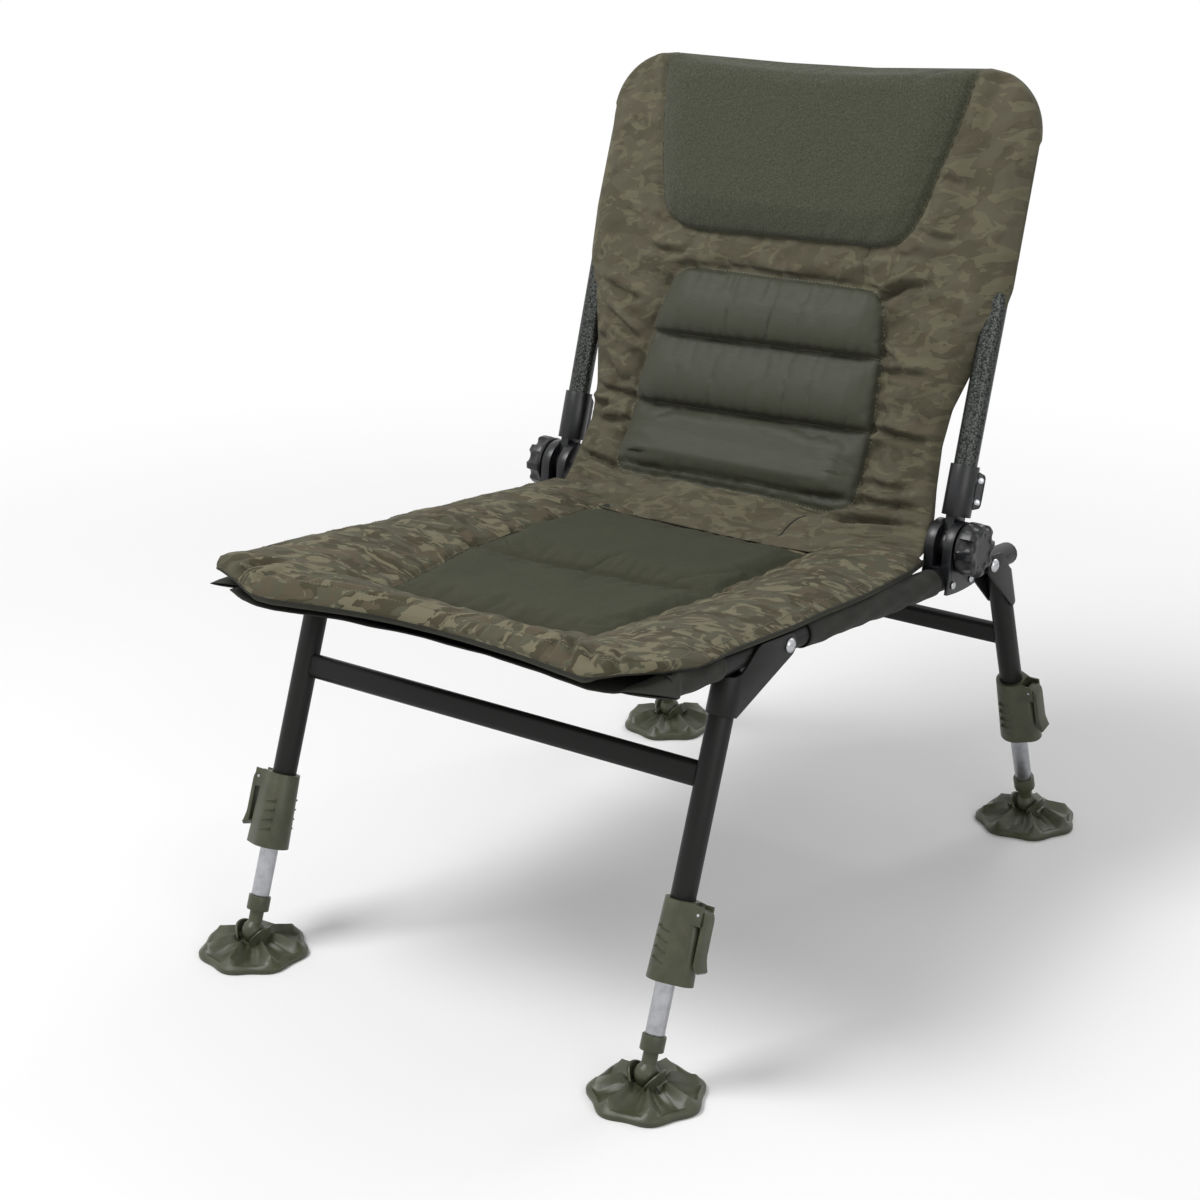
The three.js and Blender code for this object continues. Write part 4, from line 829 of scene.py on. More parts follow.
# %% [markdown]
# ## Rivets
# A rivet's head is a shallow dome. Two hold each hinge base to its rail, and two go through a moulded
# flange beside the socket of the recliner's arm. A pivot bolt has a six-lobed socket in its head, and
# the shade inside it is painted: a dark lobed disc of black plastic sits just under the head. A rivet
# could be a bright dot in the paint, but its rim catches the light, so it is a small real dome.

# %% Rivets, flanges and the painted shade of bolt sockets
# BASE_RIVET, ARM_RIVET and SOCKET_SHADE are a radius and a height.
DOME_RIM = 0.0008
BASE_RIVET, BASE_RIVET_APART, BASE_RIVET_ABOVE = (0.0042, 0.0011), 0.039, -0.0031
BASE_FACE = 0.0163 + 0.0016
ARM_RIVET, ARM_RIVET_RINGS, ARM_RIVET_OUT = (0.0036, 0.0011), (4, 15), 0.0035
FLANGE_FROM, FLANGE_TO, FLANGE_OUT = 0.040, 0.080, 0.015
FLANGE_HALF_WIDTH, FLANGE_HALF_DEPTH = 0.0088, 0.0033
# The bolt's socket is painted shade: a dark lobed disc of this radius and height stands for the shade in the
# recess.
SOCKET_SHADE, SOCKET_LOBES, SOCKET_SUNK = (0.0023, 0.0002), 6, 0.0004


def dome(centre, normal, radius, height, lobes=0):
    """A disc that bulges by height * sqrt(1 - share^2) along a normal and has a short wall under its
    rim; lobes waves its outline, for the dark disc of painted shade in a driver socket."""
    normal = np.array(normal, float) / np.linalg.norm(normal)
    side = np.cross(normal, (0.3, 0.5, 0.8))
    side /= np.linalg.norm(side)
    a = np.linspace(0, 2 * math.pi, 36, endpoint=False)[None, :]
    share = np.array([0.03, 0.4, 0.7, 0.88, 1, 1])[:, None]
    wall = np.array([0, 0, 0, 0, 0, 1])[:, None] * DOME_RIM
    rise = height * np.sqrt(np.clip(1 - share ** 2, 0, 1)) - wall
    reach = radius * share * (1 + 0.16 * np.cos(lobes * a) * bool(lobes))
    flat = np.cos(a)[..., None] * side + np.sin(a)[..., None] * np.cross(normal, side)
    return looped(np.array(centre) + reach[..., None] * flat + rise[..., None] * normal)


def rounded_square(value):
    """Pushes a sine or cosine towards its ends: the power 0.55 of its size, with its sign."""
    return np.sign(value) * np.abs(value) ** 0.55


def flange(sign):
    """A rounded plate that leans out and back from the socket, as a stack of rounded rings; gives also
    the rings' middles, the plate's direction and its normal."""
    way = np.array([0.82 * sign, 0.57])
    up = np.linspace(FLANGE_FROM, FLANGE_TO, 20)
    middle = back_point(sign * RAIL_X + way[0] * FLANGE_OUT, up, -way[1] * FLANGE_OUT)
    along = back_point(way[0], 0.0, -way[1]) - back_point(0, 0, 0)
    face = np.cross(along, back_point(0, 1, 0) - back_point(0, 0, 0)) * sign
    a = np.linspace(0, 2 * math.pi, 28, endpoint=False)[None, :, None]
    round_off = np.sqrt(np.clip(1 - np.abs(np.linspace(-1, 1, 20)) ** 9, 0.02, 1))[:, None, None]
    width = along * rounded_square(np.cos(a)) * FLANGE_HALF_WIDTH * round_off
    rings = middle[:, None] + width + face * rounded_square(np.sin(a)) * FLANGE_HALF_DEPTH
    return looped(rings), middle, along, face


for side, sign in SIDES.items():
    places = HINGE_ALONG + np.array([-0.5, 0.5]) * BASE_RIVET_APART
    spots = seat_point(sign * (RAIL_X + BASE_FACE), places, BASE_RIVET_ABOVE)
    heads = [dome(spot, (sign, 0, 0), *BASE_RIVET) for spot in spots]
    base_rivets = new_piece(f"{side}_base_rivets", *joined(heads), [zinc])
    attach(base_rivets, "seat")
    plate, middle, along, face = flange(sign)
    out = face if face @ np.array([sign * 0.5, -1, 0.2]) > 0 else -face
    plate_piece = new_piece(f"{side}_arm_flange", *plate, [black_plastic])
    heads = [dome(middle[k] + along * ARM_RIVET_OUT + out * FLANGE_HALF_DEPTH, out, *ARM_RIVET)
             for k in ARM_RIVET_RINGS]
    arm_rivets = new_piece(f"{side}_arm_rivets", *joined(heads), [zinc])
    for piece, slot in ((plate_piece, "black_plastic"), (arm_rivets, "zinc_steel")):
        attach(piece, "back")
for leg in LEGS:
    low, high = (np.array(corner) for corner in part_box(f"{leg}_pivot_bolt"))
    sign = SIDES[leg.split("_")[1]]
    centre = (low + high) / 2
    centre[0] = (high if sign > 0 else low)[0] - sign * SOCKET_SUNK
    # Painted shade: a dark disc sunk just under the bolt's head stands for the shade in its socket.
    arrays = dome(centre, (sign, 0, 0), *SOCKET_SHADE, SOCKET_LOBES)
    socket = new_piece(f"{leg}_painted_socket_shade", *arrays, [black_plastic])
    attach(socket, "seat")
print("a rivet's head stands", round(BASE_RIVET[1] * 1000, 1), "mm high")
print("a flange has", len(plate[1]), "faces")

# %% [markdown]
# ## Blowing a cushion up
# Real padding presses its cover outwards and the seams hold it down, and that pull makes the small
# folds that the eye reads as cloth. Blender's cloth solver does the same: the points near a seam are
# pinned, air pressure pushes the rest, and the cloth is a little larger than its shape so that it
# wrinkles. A cap keeps every point near its place, and the result is read back into the arrays.

# %% Cloth simulation
HOLD_LEVELS = 10


def inflate(pad, pins, spare, cap, pressure=4.0, frames=20):
    """Runs the cloth solver on a pad. pins is 1 where a point is held, for every point of the pad. The
    cloth is larger by the share spare, and a point moves by cap at most."""
    points, quads, _, _ = pad.arrays()
    piece = new_piece("simulated", points, quads, [])
    group = piece.vertex_groups.new(name="held")
    levels = np.round(pins * HOLD_LEVELS).astype(int)
    for level in range(1, HOLD_LEVELS + 1):
        group.add(np.nonzero(levels == level)[0].tolist(), level / HOLD_LEVELS, "REPLACE")
    cloth = piece.modifiers.new("cloth", "CLOTH")
    cloth.settings.vertex_group_mass = group.name
    cloth.settings.use_pressure = True
    cloth.settings.uniform_pressure_force = pressure
    cloth.settings.shrink_min = -spare
    cloth.settings.quality = 5
    cloth.settings.effector_weights.gravity = 0
    cloth.collision_settings.use_collision = False
    cloth.point_cache.frame_start, cloth.point_cache.frame_end = 1, frames
    for number in range(1, frames + 1):
        scene.frame_set(number)
    result = piece.evaluated_get(bpy.context.evaluated_depsgraph_get())
    moved = np.empty(len(points) * 3, np.float32)
    result.data.vertices.foreach_get("co", moved)
    step = moved.reshape(-1, 3) - points
    length = np.linalg.norm(step, axis=1, keepdims=True)
    step *= np.minimum(1, cap / (length + 1e-9))
    pad.take(points + step)
    print("simulated", len(points), "points, moved up to", round(float(length.max()) * 1000, 1), "mm")
    bpy.data.objects.remove(piece)
    scene.frame_set(1)


# %% Helpers on the flat cloth
def seam_distance(u, v, line):
    """Distance from each place on the cloth to a line of straight pieces."""
    here = np.stack([u, v], -1)
    best = np.full(u.shape, 9.0)
    for a, b in zip(line[:-1], line[1:]):
        a, b = np.array(a, float), np.array(b, float)
        t = np.clip(((here - a) @ (b - a)) / max((b - a) @ (b - a), 1e-12), 0, 1)
        best = np.minimum(best, np.linalg.norm(here - a - t[..., None] * (b - a), axis=-1))
    return best


def inside(u, v, corners):
    """Which places lie inside a convex outline whose corners go against the clock."""
    ok = np.ones(u.shape, bool)
    for a, b in zip(corners, corners[1:] + corners[:1]):
        ok &= (b[0] - a[0]) * (v - a[1]) - (b[1] - a[1]) * (u - a[0]) >= 0
    return ok


def wavy(u, v, seed, size):
    """Smooth random hills from -1 to 1: a sum of twelve sine waves in seeded directions."""
    rng = np.random.default_rng(seed)
    total = 0
    for _ in range(12):
        angle, phase = rng.uniform(0, 2 * math.pi, 2)
        length = size * rng.uniform(0.6, 1.6)
        total = total + np.sin((u * math.cos(angle) + v * math.sin(angle)) * 2 * math.pi / length + phase)
    return total / 5


print("from (0, 0) to the line x = 3:", seam_distance(np.zeros(1), np.zeros(1), [(3, -1), (3, 1)]))

# %% [markdown]
# ## The seat cushion
# It is a flat mattress about 24 mm thick on a cloth slung between the rails, so it sags in the middle
# and stays high over the rails. A dark mesh panel lies in the middle with a seam across it, and a
# camouflage border runs round it. At the front the border rolls over the edge; under the roll the side
# is a dark band. A box that is bevelled and blown up would stay too even, so the sag, the roll and the
# crown of the border are each a term of its height.

# %% Seat cushion shape
# Places are metres across and along the rail from the front bolt, heights are above the rail's middle.
SEAT_FRONT, SEAT_REAR, SEAT_HALF = -0.24, 0.302, 0.268
PAD_THICK, TOP_OVER_RAIL, UNDER_OVER_RAIL = 0.024, 0.0236, 0.0135
SAG_FRONT, SAG_REAR, SAG_END = 0.024, 0.007, 0.245
ROLL_FROM, ROLL_TO = -0.229, -0.122
CROWN_FROM, CROWN_WIDE, CROWN = 0.267, 0.131, 0.006
EDGE_ROUND, EDGE_FALL_FRONT, EDGE_FALL_SIDE, CORNER_LIFT = 0.012, 0.0105, 0.0055, 0.004
CROSS_SEAM = 0.048
PANEL = [(-0.122, -0.126), (0.122, -0.118), (0.143, 0.030), (0.132, 0.246), (-0.138, 0.246),
         (-0.146, 0.030)]


def seat_half_width(y, x):
    """Half the cushion's width: drawn in a little in the middle and towards the rear."""
    right = np.interp(y, [0.06, 0.09, 0.184, 0.254, SEAT_REAR], [0, 0.002, 0.011, 0.018, 0.028])
    waist = 0.005 * np.exp(-((y - 0.05) / 0.07) ** 2)
    return SEAT_HALF - waist - np.where(x > 0, right, 0.9 * right)


def seat_front_edge(x):
    """Where the front edge runs: back in the middle, forward beside it, and back round the corners."""
    left = [(-0.268, -0.218), (-0.262, -0.228), (-0.234, -0.238), (-0.200, -0.246), (-0.176, -0.247),
            (-0.113, -0.227), (-0.046, -0.205)]
    right = [(0.04, -0.204), (0.109, -0.217), (0.161, -0.228), (0.198, -0.235), (0.218, -0.230),
             (0.240, -0.211), (0.256, -0.192), (0.268, -0.160)]
    return np.interp(x, *np.transpose([*left, (0, -0.200), *right]))


def seat_sag(x, y):
    """Height of the top before it is puffed: level over the rails, sagging between them."""
    inward = np.clip(1 - np.abs(x) / RAIL_X, 0, 1)
    depth = mix(SAG_FRONT, SAG_REAR, smooth(y, ROLL_TO, SAG_END))
    return TOP_OVER_RAIL - depth * smooth(y, ROLL_FROM, ROLL_TO) * smooth(inward, 0, 0.75)


def seat_top(x, y):
    """Height of the top: the sag plus a crown of half a sine across the border."""
    border = np.clip((CROWN_FROM - np.abs(x)) / CROWN_WIDE, 0, 1)
    return seat_sag(x, y) + CROWN * np.sin(math.pi * border) * smooth(y, ROLL_FROM, ROLL_TO)


def seat_grid(rows, columns):
    """Places on the cloth: even steps from the shaped front edge to the straight rear edge."""
    t = np.linspace(0, 1, rows)[:, None]
    s = np.linspace(-1, 1, columns)[None, :]
    x = s * seat_half_width(mix(SEAT_FRONT, SEAT_REAR, t), s)
    return x, mix(seat_front_edge(x), SEAT_REAR + 0 * x, t)


seat_x, seat_y = seat_grid(98, 92)
rim = np.minimum(np.minimum(seat_y - seat_y[:1], seat_y[-1:] - seat_y),
                 seat_half_width(seat_y, seat_x) - np.abs(seat_x))
fall = 1 - np.sqrt(np.clip(1 - (1 - np.clip(rim / EDGE_ROUND, 0, 1)) ** 2, 0, 1))
seat_height = seat_top(seat_x, seat_y)
over_rail = smooth(np.abs(seat_x), 0.195, 0.232)
under = mix(seat_sag(seat_x, seat_y) - PAD_THICK, UNDER_OVER_RAIL, over_rail)
at_side = smooth(np.abs(seat_x), 0.205, 0.262)
lifted = CORNER_LIFT * smooth(-seat_x, 0.19, 0.262) * (1 - smooth(seat_y, -0.12, 0.0))
edge_fall = mix(EDGE_FALL_FRONT, EDGE_FALL_SIDE, at_side) * fall
top = seat_point(seat_x, seat_y, seat_height + lifted - edge_fall)
bottom = seat_point(seat_x * 0.985, seat_y + 0.002 * (seat_y < -0.18), under)
seat_pad = Pad(top, bottom, seat_x, seat_y, 3, 0.0025)

panel_line = PANEL + PANEL[:1]
cross_line = [(-0.146, CROSS_SEAM - 0.012), (0.141, CROSS_SEAM + 0.010)]
print("seat cushion", [round(1000 * float(np.ptp(grid))) for grid in (seat_x, seat_y)], "mm wide and long")

# %% Seat cushion blown up
SEAM_REACH = 0.010


def held_points(pad, lines, reach):
    """1 on the bottom, the band and along the seam lines, falling to 0 at reach from a seam."""
    near = np.min([seam_distance(pad.u, pad.v, line) for line in lines], 0)
    top_pins = 1 - smooth(near, 0, reach)
    r, c = rim_walk(*pad.u.shape)
    top_pins[r, c] = 1
    return np.concatenate([top_pins.ravel(), np.ones(pad.u.size + pad.band[..., 0].size)])


inflate(seat_pad, held_points(seat_pad, [panel_line, cross_line], SEAM_REACH), spare=0.012, cap=0.006)
seat_pad.finer()
print("seat cushion's top grid", seat_pad.u.shape)

# %% [markdown]
# ## Seams and folds of the seat
# What the solver leaves too soft is pressed into the top by formula, along its own normals: a groove
# along each seam, a swell behind the cross seam, puckers that run off the panel's seam, low hills all
# over, and the few sharp folds at the front corners that the eye looks for. Sculpting them by hand
# would look as good, but could not be changed by changing a number.

# %% Seat cushion relief
def groove(distance, depth, width):
    """A rounded valley along a seam: depth * exp(-(distance / width)^2)."""
    return -depth * np.exp(-(distance / width) ** 2)


def puckers(along, distance, seed, depth, reach, pitch):
    """Short folds that run off a seam: a mean of three sine waves along it, times exp(-distance /
    reach), and nothing on the seam itself."""
    phases = np.random.default_rng(seed).uniform(0, 6.28, 3)
    waves = sum(np.sin(along * 2 * math.pi / (pitch * k) + p) for k, p in zip((1, 1.37, 2.1), phases)) / 3
    return depth * waves * np.exp(-distance / reach) * (1 - np.exp(-distance / 0.003))


def creases(u, v, folds, width):
    """Sharp folds in loose cloth, each (depth, points): a valley along the line, a ridge on either side
    of it, higher above than below, and all of it dying away towards the line's last point."""
    total = 0 * u
    for depth, *line in folds:
        first, last = np.array(line[0]), np.array(line[-1])
        way = last - first
        share = ((u - first[0]) * way[0] + (v - first[1]) * way[1]) / (way @ way)
        above = way[0] * (v - first[1]) - way[1] * (u - first[0]) > 0
        d = seam_distance(u, v, line) / width
        ridge = np.where(above == (way[0] > 0), 0.75, 0.35) * np.exp(-((d - 2.1) / 1.3) ** 2)
        fold = depth * (ridge - np.exp(-d ** 2))
        total = total + fold * (1 - smooth(share, 0.55, 1.05)) * smooth(share, -0.15, 0.1)
    return total


def press(pad, height):
    """Moves the top of a pad along its own normals."""
    pad.top = pad.top + pad.normals() * height[..., None]


# Each fold: its depth, and the places on the cloth that it runs through.
SEAT_FOLDS = [
    (0.0035, (0.150, -0.226), (0.147, -0.210), (0.143, -0.190)),
    (0.0045, (0.176, -0.232), (0.168, -0.212), (0.156, -0.196)),
    (0.0040, (0.201, -0.236), (0.191, -0.218), (0.187, -0.196)),
    (0.0035, (0.226, -0.224), (0.214, -0.206), (0.208, -0.190)),
    (0.0035, (-0.198, -0.246), (-0.184, -0.226), (-0.180, -0.205)),
    (0.0045, (-0.226, -0.240), (-0.205, -0.216), (-0.196, -0.196)),
    (0.0025, (-0.160, -0.226), (-0.080, -0.202), (-0.020, -0.190)),
    (0.0025, (0.120, -0.206), (0.070, -0.197), (0.030, -0.190)),
    (0.0030, (-0.146, 0.034), (-0.182, 0.040), (-0.220, 0.036)),
    (0.0030, (0.141, 0.060), (0.176, 0.056), (0.214, 0.062))]
FOLD_GAIN, SEAT_FOLD_WIDTH = 1.3, 0.0036
SEAM_DEPTH, SEAM_WIDTH = 0.0035, 0.0035
CROSS_DEPTH, CROSS_WIDTH, CROSS_SWELL, SWELL_LONG = 0.005, 0.004, 0.0045, 0.10
PANEL_RAISE = 0.003

x, y = seat_pad.u, seat_pad.v
to_panel, to_cross = seam_distance(x, y, panel_line), seam_distance(x, y, cross_line)
in_panel = inside(x, y, PANEL)
rim = np.minimum(np.minimum(y - y[:1], y[-1:] - y), seat_half_width(y, x) - np.abs(x))
swell = np.sin(math.pi * np.clip((y - CROSS_SEAM - 0.08 * x) / SWELL_LONG, 0, 1) ** 0.55)
relief = (groove(to_panel, SEAM_DEPTH, SEAM_WIDTH) + groove(to_cross, CROSS_DEPTH, CROSS_WIDTH)
          + PANEL_RAISE * in_panel * smooth(to_panel, 0, 0.02)
          + CROSS_SWELL * swell * in_panel * smooth(to_panel, 0, 0.03)
          + np.where(in_panel, 0, puckers(y + x * 0.6, to_panel, 3, 0.0022, 0.022, 0.026))
          + np.where(in_panel, 0.0004, 0.0014) * wavy(x, y, 11, 0.075) + 0.0005 * wavy(x, y, 12, 0.03))
seat_creases = np.where(in_panel, 0, creases(x, y, SEAT_FOLDS, SEAT_FOLD_WIDTH))
press(seat_pad, smooth(rim, 0, 0.014) * relief + FOLD_GAIN * smooth(rim, 0, 0.005) * seat_creases)
print("seat relief in mm:", [round(float(end) * 1000, 1) for end in (relief.min(), relief.max())])

# %% [markdown]
# ## Panels as faces
# The border, the dark middle and the edge are different cloths. Every face knows its place on the cloth,
# so a face takes the middle's material where its centre lies inside the panel. The seam then runs
# exactly along the groove that was pressed there.

# %% Seat cushion piece
def finish_pad(name, pad, materials, choose):
    """Makes the mesh of a pad; choose(u, v, kind) says which material each face takes."""
    points, quads, kinds, flat = pad.arrays()
    centre = flat[quads].mean(1)
    return new_piece(name, points, quads, materials, choose(centre[:, 0], centre[:, 1], kinds), flat)


def piping_share(u, v):
    """How far down the band the piping runs: on the top's rim at the sides, lower along the front."""
    return 0.66 * (1 - smooth(v - seat_front_edge(u), 0.012, 0.075))


def seat_cloths(u, v, kind):
    """0 camouflage on the border and down to the piping, 1 mesh, 2 dark edge, 3 underside."""
    band = np.where(kind - 1 < piping_share(u, v), 0, 2)
    return np.where(kind == 0, np.where(inside(u, v, PANEL), 1, 0), np.where(kind < 2, band, 3))


cloths = [camo_seat, mesh_middle, edge_cloth, under_cloth]
seat_cushion = finish_pad("seat_cushion", seat_pad, cloths, seat_cloths)
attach(seat_cushion, "seat")
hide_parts("seat_pad")
print("seat cushion", len(seat_cushion.data.polygons), "faces")

# %% [markdown]
# ## The back cushion
# The back is one long cover. It starts in the crease behind the seat, rolls forward and up, narrows at
# the waist, widens to the shoulders where it wraps the tube, and ends over the top bar. On it sit a
# satin panel with three stuffed channels and a thick fleece panel for the head. Separate pads would
# show gaps where one cloth goes on, so the whole cover is one pad, and its panels are raised from it.

# %% Back cushion outline
BACK_TOP, BACK_CORNER = 0.486, 0.068
TOE, KNEE = -0.082, 0.060
BACK_THICK, SATIN_RAISE, HEAD_RAISE, WRAP_FRONT = 0.014, 0.004, 0.010, 0.0158
REAR_THICK, WRAP_REAR, BACK_ROUND, RIM_SHARE = 0.006, 0.0166, 0.017, 0.16
BEHIND_TUBE, CREASE_ALONG, CREASE_CURVE = 0.004, 0.248, 0.052


def rounded(corners, radius, steps=6):
    """An outline with each corner rounded: radius back along both sides, joined by a quadratic curve."""
    out = []
    t = np.linspace(0, 1, steps)[:, None]
    for before, here, after in zip(corners[-1:] + corners[:-1], corners, corners[1:] + corners[:1]):
        before, here, after = np.array(before), np.array(here), np.array(after)
        a, b = before - here, after - here
        reach = min(radius, np.hypot(*a) / 2.02, np.hypot(*b) / 2.02)
        start, end = here + a / np.hypot(*a) * reach, here + b / np.hypot(*b) * reach
        curve = (1 - t) ** 2 * start + 2 * t * (1 - t) * here + t * t * end
        out += [tuple(point) for point in curve]
    return out


SATIN = rounded([(-0.172, 0.000), (0.140, 0.004), (0.1425, 0.110), (0.139, 0.190), (0.128, 0.252),
                 (-0.137, 0.247), (-0.158, 0.165), (-0.166, 0.080)], 0.024)
HEAD = rounded([(-0.160, 0.284), (0.145, 0.294), (0.169, 0.372), (0.187, 0.440), (0.207, 0.560),
                (-0.202, 0.560), (-0.187, 0.392)], 0.042)
CHANNELS = (0.0955, 0.174)
CHANNEL_SLOPE = 0.034


def back_half_width(v, x):
    """Half the cover's width up the back, a little less on the right: a waist, shoulders, and at the
    top a quarter circle."""
    right = [(-0.08, 0.2345), (-0.02, 0.2345), (0.02, 0.228), (0.06, 0.221), (0.10, 0.219), (0.139, 0.2235),
             (0.172, 0.235), (0.211, 0.249), (0.239, 0.261), (0.272, 0.2675), (0.334, 0.267), (0.42, 0.2665),
             (0.5, 0.2665)]
    left = [(-0.08, 0.229), (0.02, 0.230), (0.06, 0.229), (0.10, 0.230), (0.146, 0.238), (0.196, 0.252),
            (0.218, 0.262), (0.25, 0.267), (0.30, 0.2695), (0.36, 0.268), (0.42, 0.2665), (0.5, 0.2665)]
    right, left = (np.interp(v, *np.transpose(line)) for line in (right, left))
    corner = np.clip(v - (BACK_TOP - BACK_CORNER), 0, BACK_CORNER - 1e-6)
    return np.where(x > 0, right, left) - BACK_CORNER + np.sqrt(BACK_CORNER ** 2 - corner ** 2)


def top_edge(x, v):
    """How much higher or lower the cloth runs near its top edge: it hangs lower on the left."""
    lift = np.interp(x, [-0.27, -0.05, 0.06, 0.2, 0.27], [-0.006, -0.0055, -0.002, 0.0085, 0.0085])
    return lift * smooth(v, 0.30, BACK_TOP)


print("half width at the waist, left and right:", back_half_width(0.10, np.array([-1, 1])).round(3))

# %% Back cushion thickness
def back_middle(v):
    """How far the cover's middle lies behind the tube's plane."""
    return BEHIND_TUBE * (1 - smooth(v, 0.06, 0.25))


def wraps(x, v):
    """1 where the cover is wrapped round the tube: at the sides, above the waist."""
    return smooth(np.abs(x), 0.212, 0.24) * smooth(v, 0.17, 0.25)


def back_front(x, v):
    """How far its front stands forward of its middle: border, lumbar panel and head panel."""
    side = 1 - smooth(np.abs(x), 0.165 + (v - 0.3) * 0.2, 0.205 + (v - 0.3) * 0.1)
    thick = BACK_THICK + SATIN_RAISE * inside(x, v, SATIN) + HEAD_RAISE * smooth(v, 0.280, 0.305) * side
    return mix(thick, WRAP_FRONT, wraps(x, v))


def back_rear(x, v):
    """How far its rear stands behind its middle: flat, and thick where the tube runs, also over the top."""
    head = np.maximum(smooth(v, 0.43, 0.455), smooth(np.abs(x) + v, 0.615, 0.645))
    return mix(REAR_THICK, WRAP_REAR, np.maximum(wraps(x, v), head))


head_x, head_v = np.array(0.0), np.array(0.40)
print("thickness at the head:", round(float(back_front(head_x, head_v) + back_rear(head_x, head_v)), 4))

# %% Back cushion with its toe
def back_grid(rows, columns):
    """Places on the cloth: rows from the toe to the top, closer together towards the top."""
    t = np.linspace(0, 1, rows)[:, None]
    s = np.linspace(-1, 1, columns)[None, :]
    v = mix(TOE, BACK_TOP, 1 - (1 - t) ** 1.12)
    return s * back_half_width(v, s), v + 0 * s


def toe_curve(v, start, control, end):
    """The lower part of the cover: a quadratic curve from the crease on the seat up to the back."""
    t = np.clip((v - TOE) / (KNEE - TOE), 0, 1)[..., None]
    return (1 - t) ** 2 * start + 2 * t * (1 - t) * control + t * t * end


def with_toe(x, v, upper, start, control):
    """The upper shape above the knee and the toe's curve below it."""
    end = upper(x, KNEE + 0 * v)
    return np.where((v < KNEE)[..., None], toe_curve(v, start, control, end), upper(x, v))


back_x, back_v = back_grid(112, 92)
corner_x = np.clip(np.abs(back_x) - (0.267 - BACK_CORNER), 0, None)
corner_v = np.clip(back_v - (BACK_TOP - BACK_CORNER), 0, None)
round_rim = BACK_CORNER - np.hypot(corner_x, corner_v)
straight = np.minimum(back_half_width(back_v, back_x) - np.abs(back_x), BACK_TOP - back_v)
rim = np.where((corner_x > 0) & (corner_v > 0), round_rim, straight)
edge = mix(RIM_SHARE, 1, np.sqrt(np.clip(1 - (1 - np.clip(rim / BACK_ROUND, 0, 1)) ** 2, 0, 1)))
crease_along = CREASE_ALONG + CREASE_CURVE * smooth(np.abs(back_x), 0.136, 0.228)
crease_above = seat_top(back_x, crease_along) + 0.0015 - 0.0045 * smooth(np.abs(back_x), 0.17, 0.225)
front_start = seat_point(back_x, crease_along, crease_above)
front_control = seat_point(back_x, 0.312, 0.030)
rear_start = seat_point(back_x, crease_along + 0.004, crease_above - 0.001)
rear_control = seat_point(back_x, 0.332, 0.0285)


def front_upper(x, v):
    """The front above the knee."""
    return back_point(x, v + top_edge(x, v), back_front(x, v) * edge - back_middle(v))


def rear_upper(x, v):
    """The rear above the knee."""
    return back_point(x, v + top_edge(x, v), -back_rear(x, v) * edge - back_middle(v))


top = with_toe(back_x, back_v, front_upper, front_start, front_control)
bottom = with_toe(back_x, back_v, rear_upper, rear_start, rear_control)
back_pad = Pad(top, bottom, back_x, back_v, 2, 0.001)
print("back cushion's points:", top.shape)

# %% Back cushion blown up
satin_line = SATIN + SATIN[:1]
head_line = HEAD + HEAD[:1]
channel_lines = [[(x, v + CHANNEL_SLOPE * x) for x in (-left, right)]
                 for v, left, right in zip(CHANNELS, (0.1635, 0.157), (0.1425, 0.1395))]
back_seams = [satin_line, head_line, *channel_lines]
inflate(back_pad, held_points(back_pad, back_seams, SEAM_REACH), spare=0.004, cap=0.005)
back_pad.finer()
print("back cushion's front grid", back_pad.u.shape)

# %% [markdown]
# ## Channels, seams and puckers
# The padding of a channel slips down, so its cover bulges most just above its lower seam and thins out
# towards the upper one. Beside the satin panel the tight seam gathers the looser camouflage cloth into
# short folds, and where the back meets the seat the cloth is bunched. The solver doesn't find such
# folds on a grid this coarse, so they too are pressed in by formula.

# %% Folds and seams of the back
BACK_FOLDS = [
    (0.004, (-0.181, 0.200), (-0.223, 0.212), (-0.253, 0.219)),
    (0.006, (-0.172, 0.155), (-0.207, 0.176), (-0.240, 0.193)),
    (0.004, (-0.221, 0.152), (-0.243, 0.151)),
    (0.004, (-0.190, 0.104), (-0.200, 0.116), (-0.212, 0.130)),
    (0.005, (-0.166, 0.091), (-0.208, 0.095), (-0.232, 0.103)),
    (0.006, (-0.240, 0.073), (-0.190, 0.079)),
    (0.004, (-0.170, 0.064), (-0.208, 0.059)),
    (0.006, (-0.170, 0.002), (-0.212, 0.008), (-0.243, 0.018)),
    (0.005, (0.126, 0.243), (0.151, 0.256), (0.195, 0.266)),
    (0.004, (0.140, 0.187), (0.163, 0.174)),
    (0.004, (0.143, 0.166), (0.206, 0.169)),
    (0.0055, (0.143, 0.104), (0.183, 0.101), (0.224, 0.098)),
    (0.0045, (0.143, 0.046), (0.177, 0.044), (0.214, 0.048)),
    (0.006, (0.141, 0.022), (0.181, 0.022), (0.226, 0.027)),
    (0.008, (0.118, -0.012), (0.173, -0.007), (0.227, 0.002)),
    (0.003, (0.148, 0.130), (0.158, 0.112), (0.168, 0.092)),
    (0.004, (-0.128, 0.262), (-0.156, 0.258), (-0.185, 0.262)),
    (0.003, (-0.196, 0.290), (-0.220, 0.300)),
    (0.003, (0.158, 0.318), (0.186, 0.310), (0.214, 0.314)),
    (0.003, (0.172, 0.372), (0.206, 0.366))]
# Seams that the cover has beside the head panel and below the satin, on the right.
COVER_SEAMS = [[(0.101, 0.294), (0.097, 0.279), (0.101, 0.257)],
               [(0.117, 0.004), (0.100, -0.010), (0.090, -0.026), (0.083, -0.044), (0.081, -0.062)]]
CHANNEL_RISE, CHANNEL_ROUND, HEAD_PUFF, ROLL_RISE = 0.0145, 0.032, 0.006, 0.006
BACK_FOLD_WIDTH, GATHER_DEPTH, TOP_GATHER_DEPTH = 0.0042, 0.008, 0.003
print(len(BACK_FOLDS), "folds and", len(COVER_SEAMS), "seams")

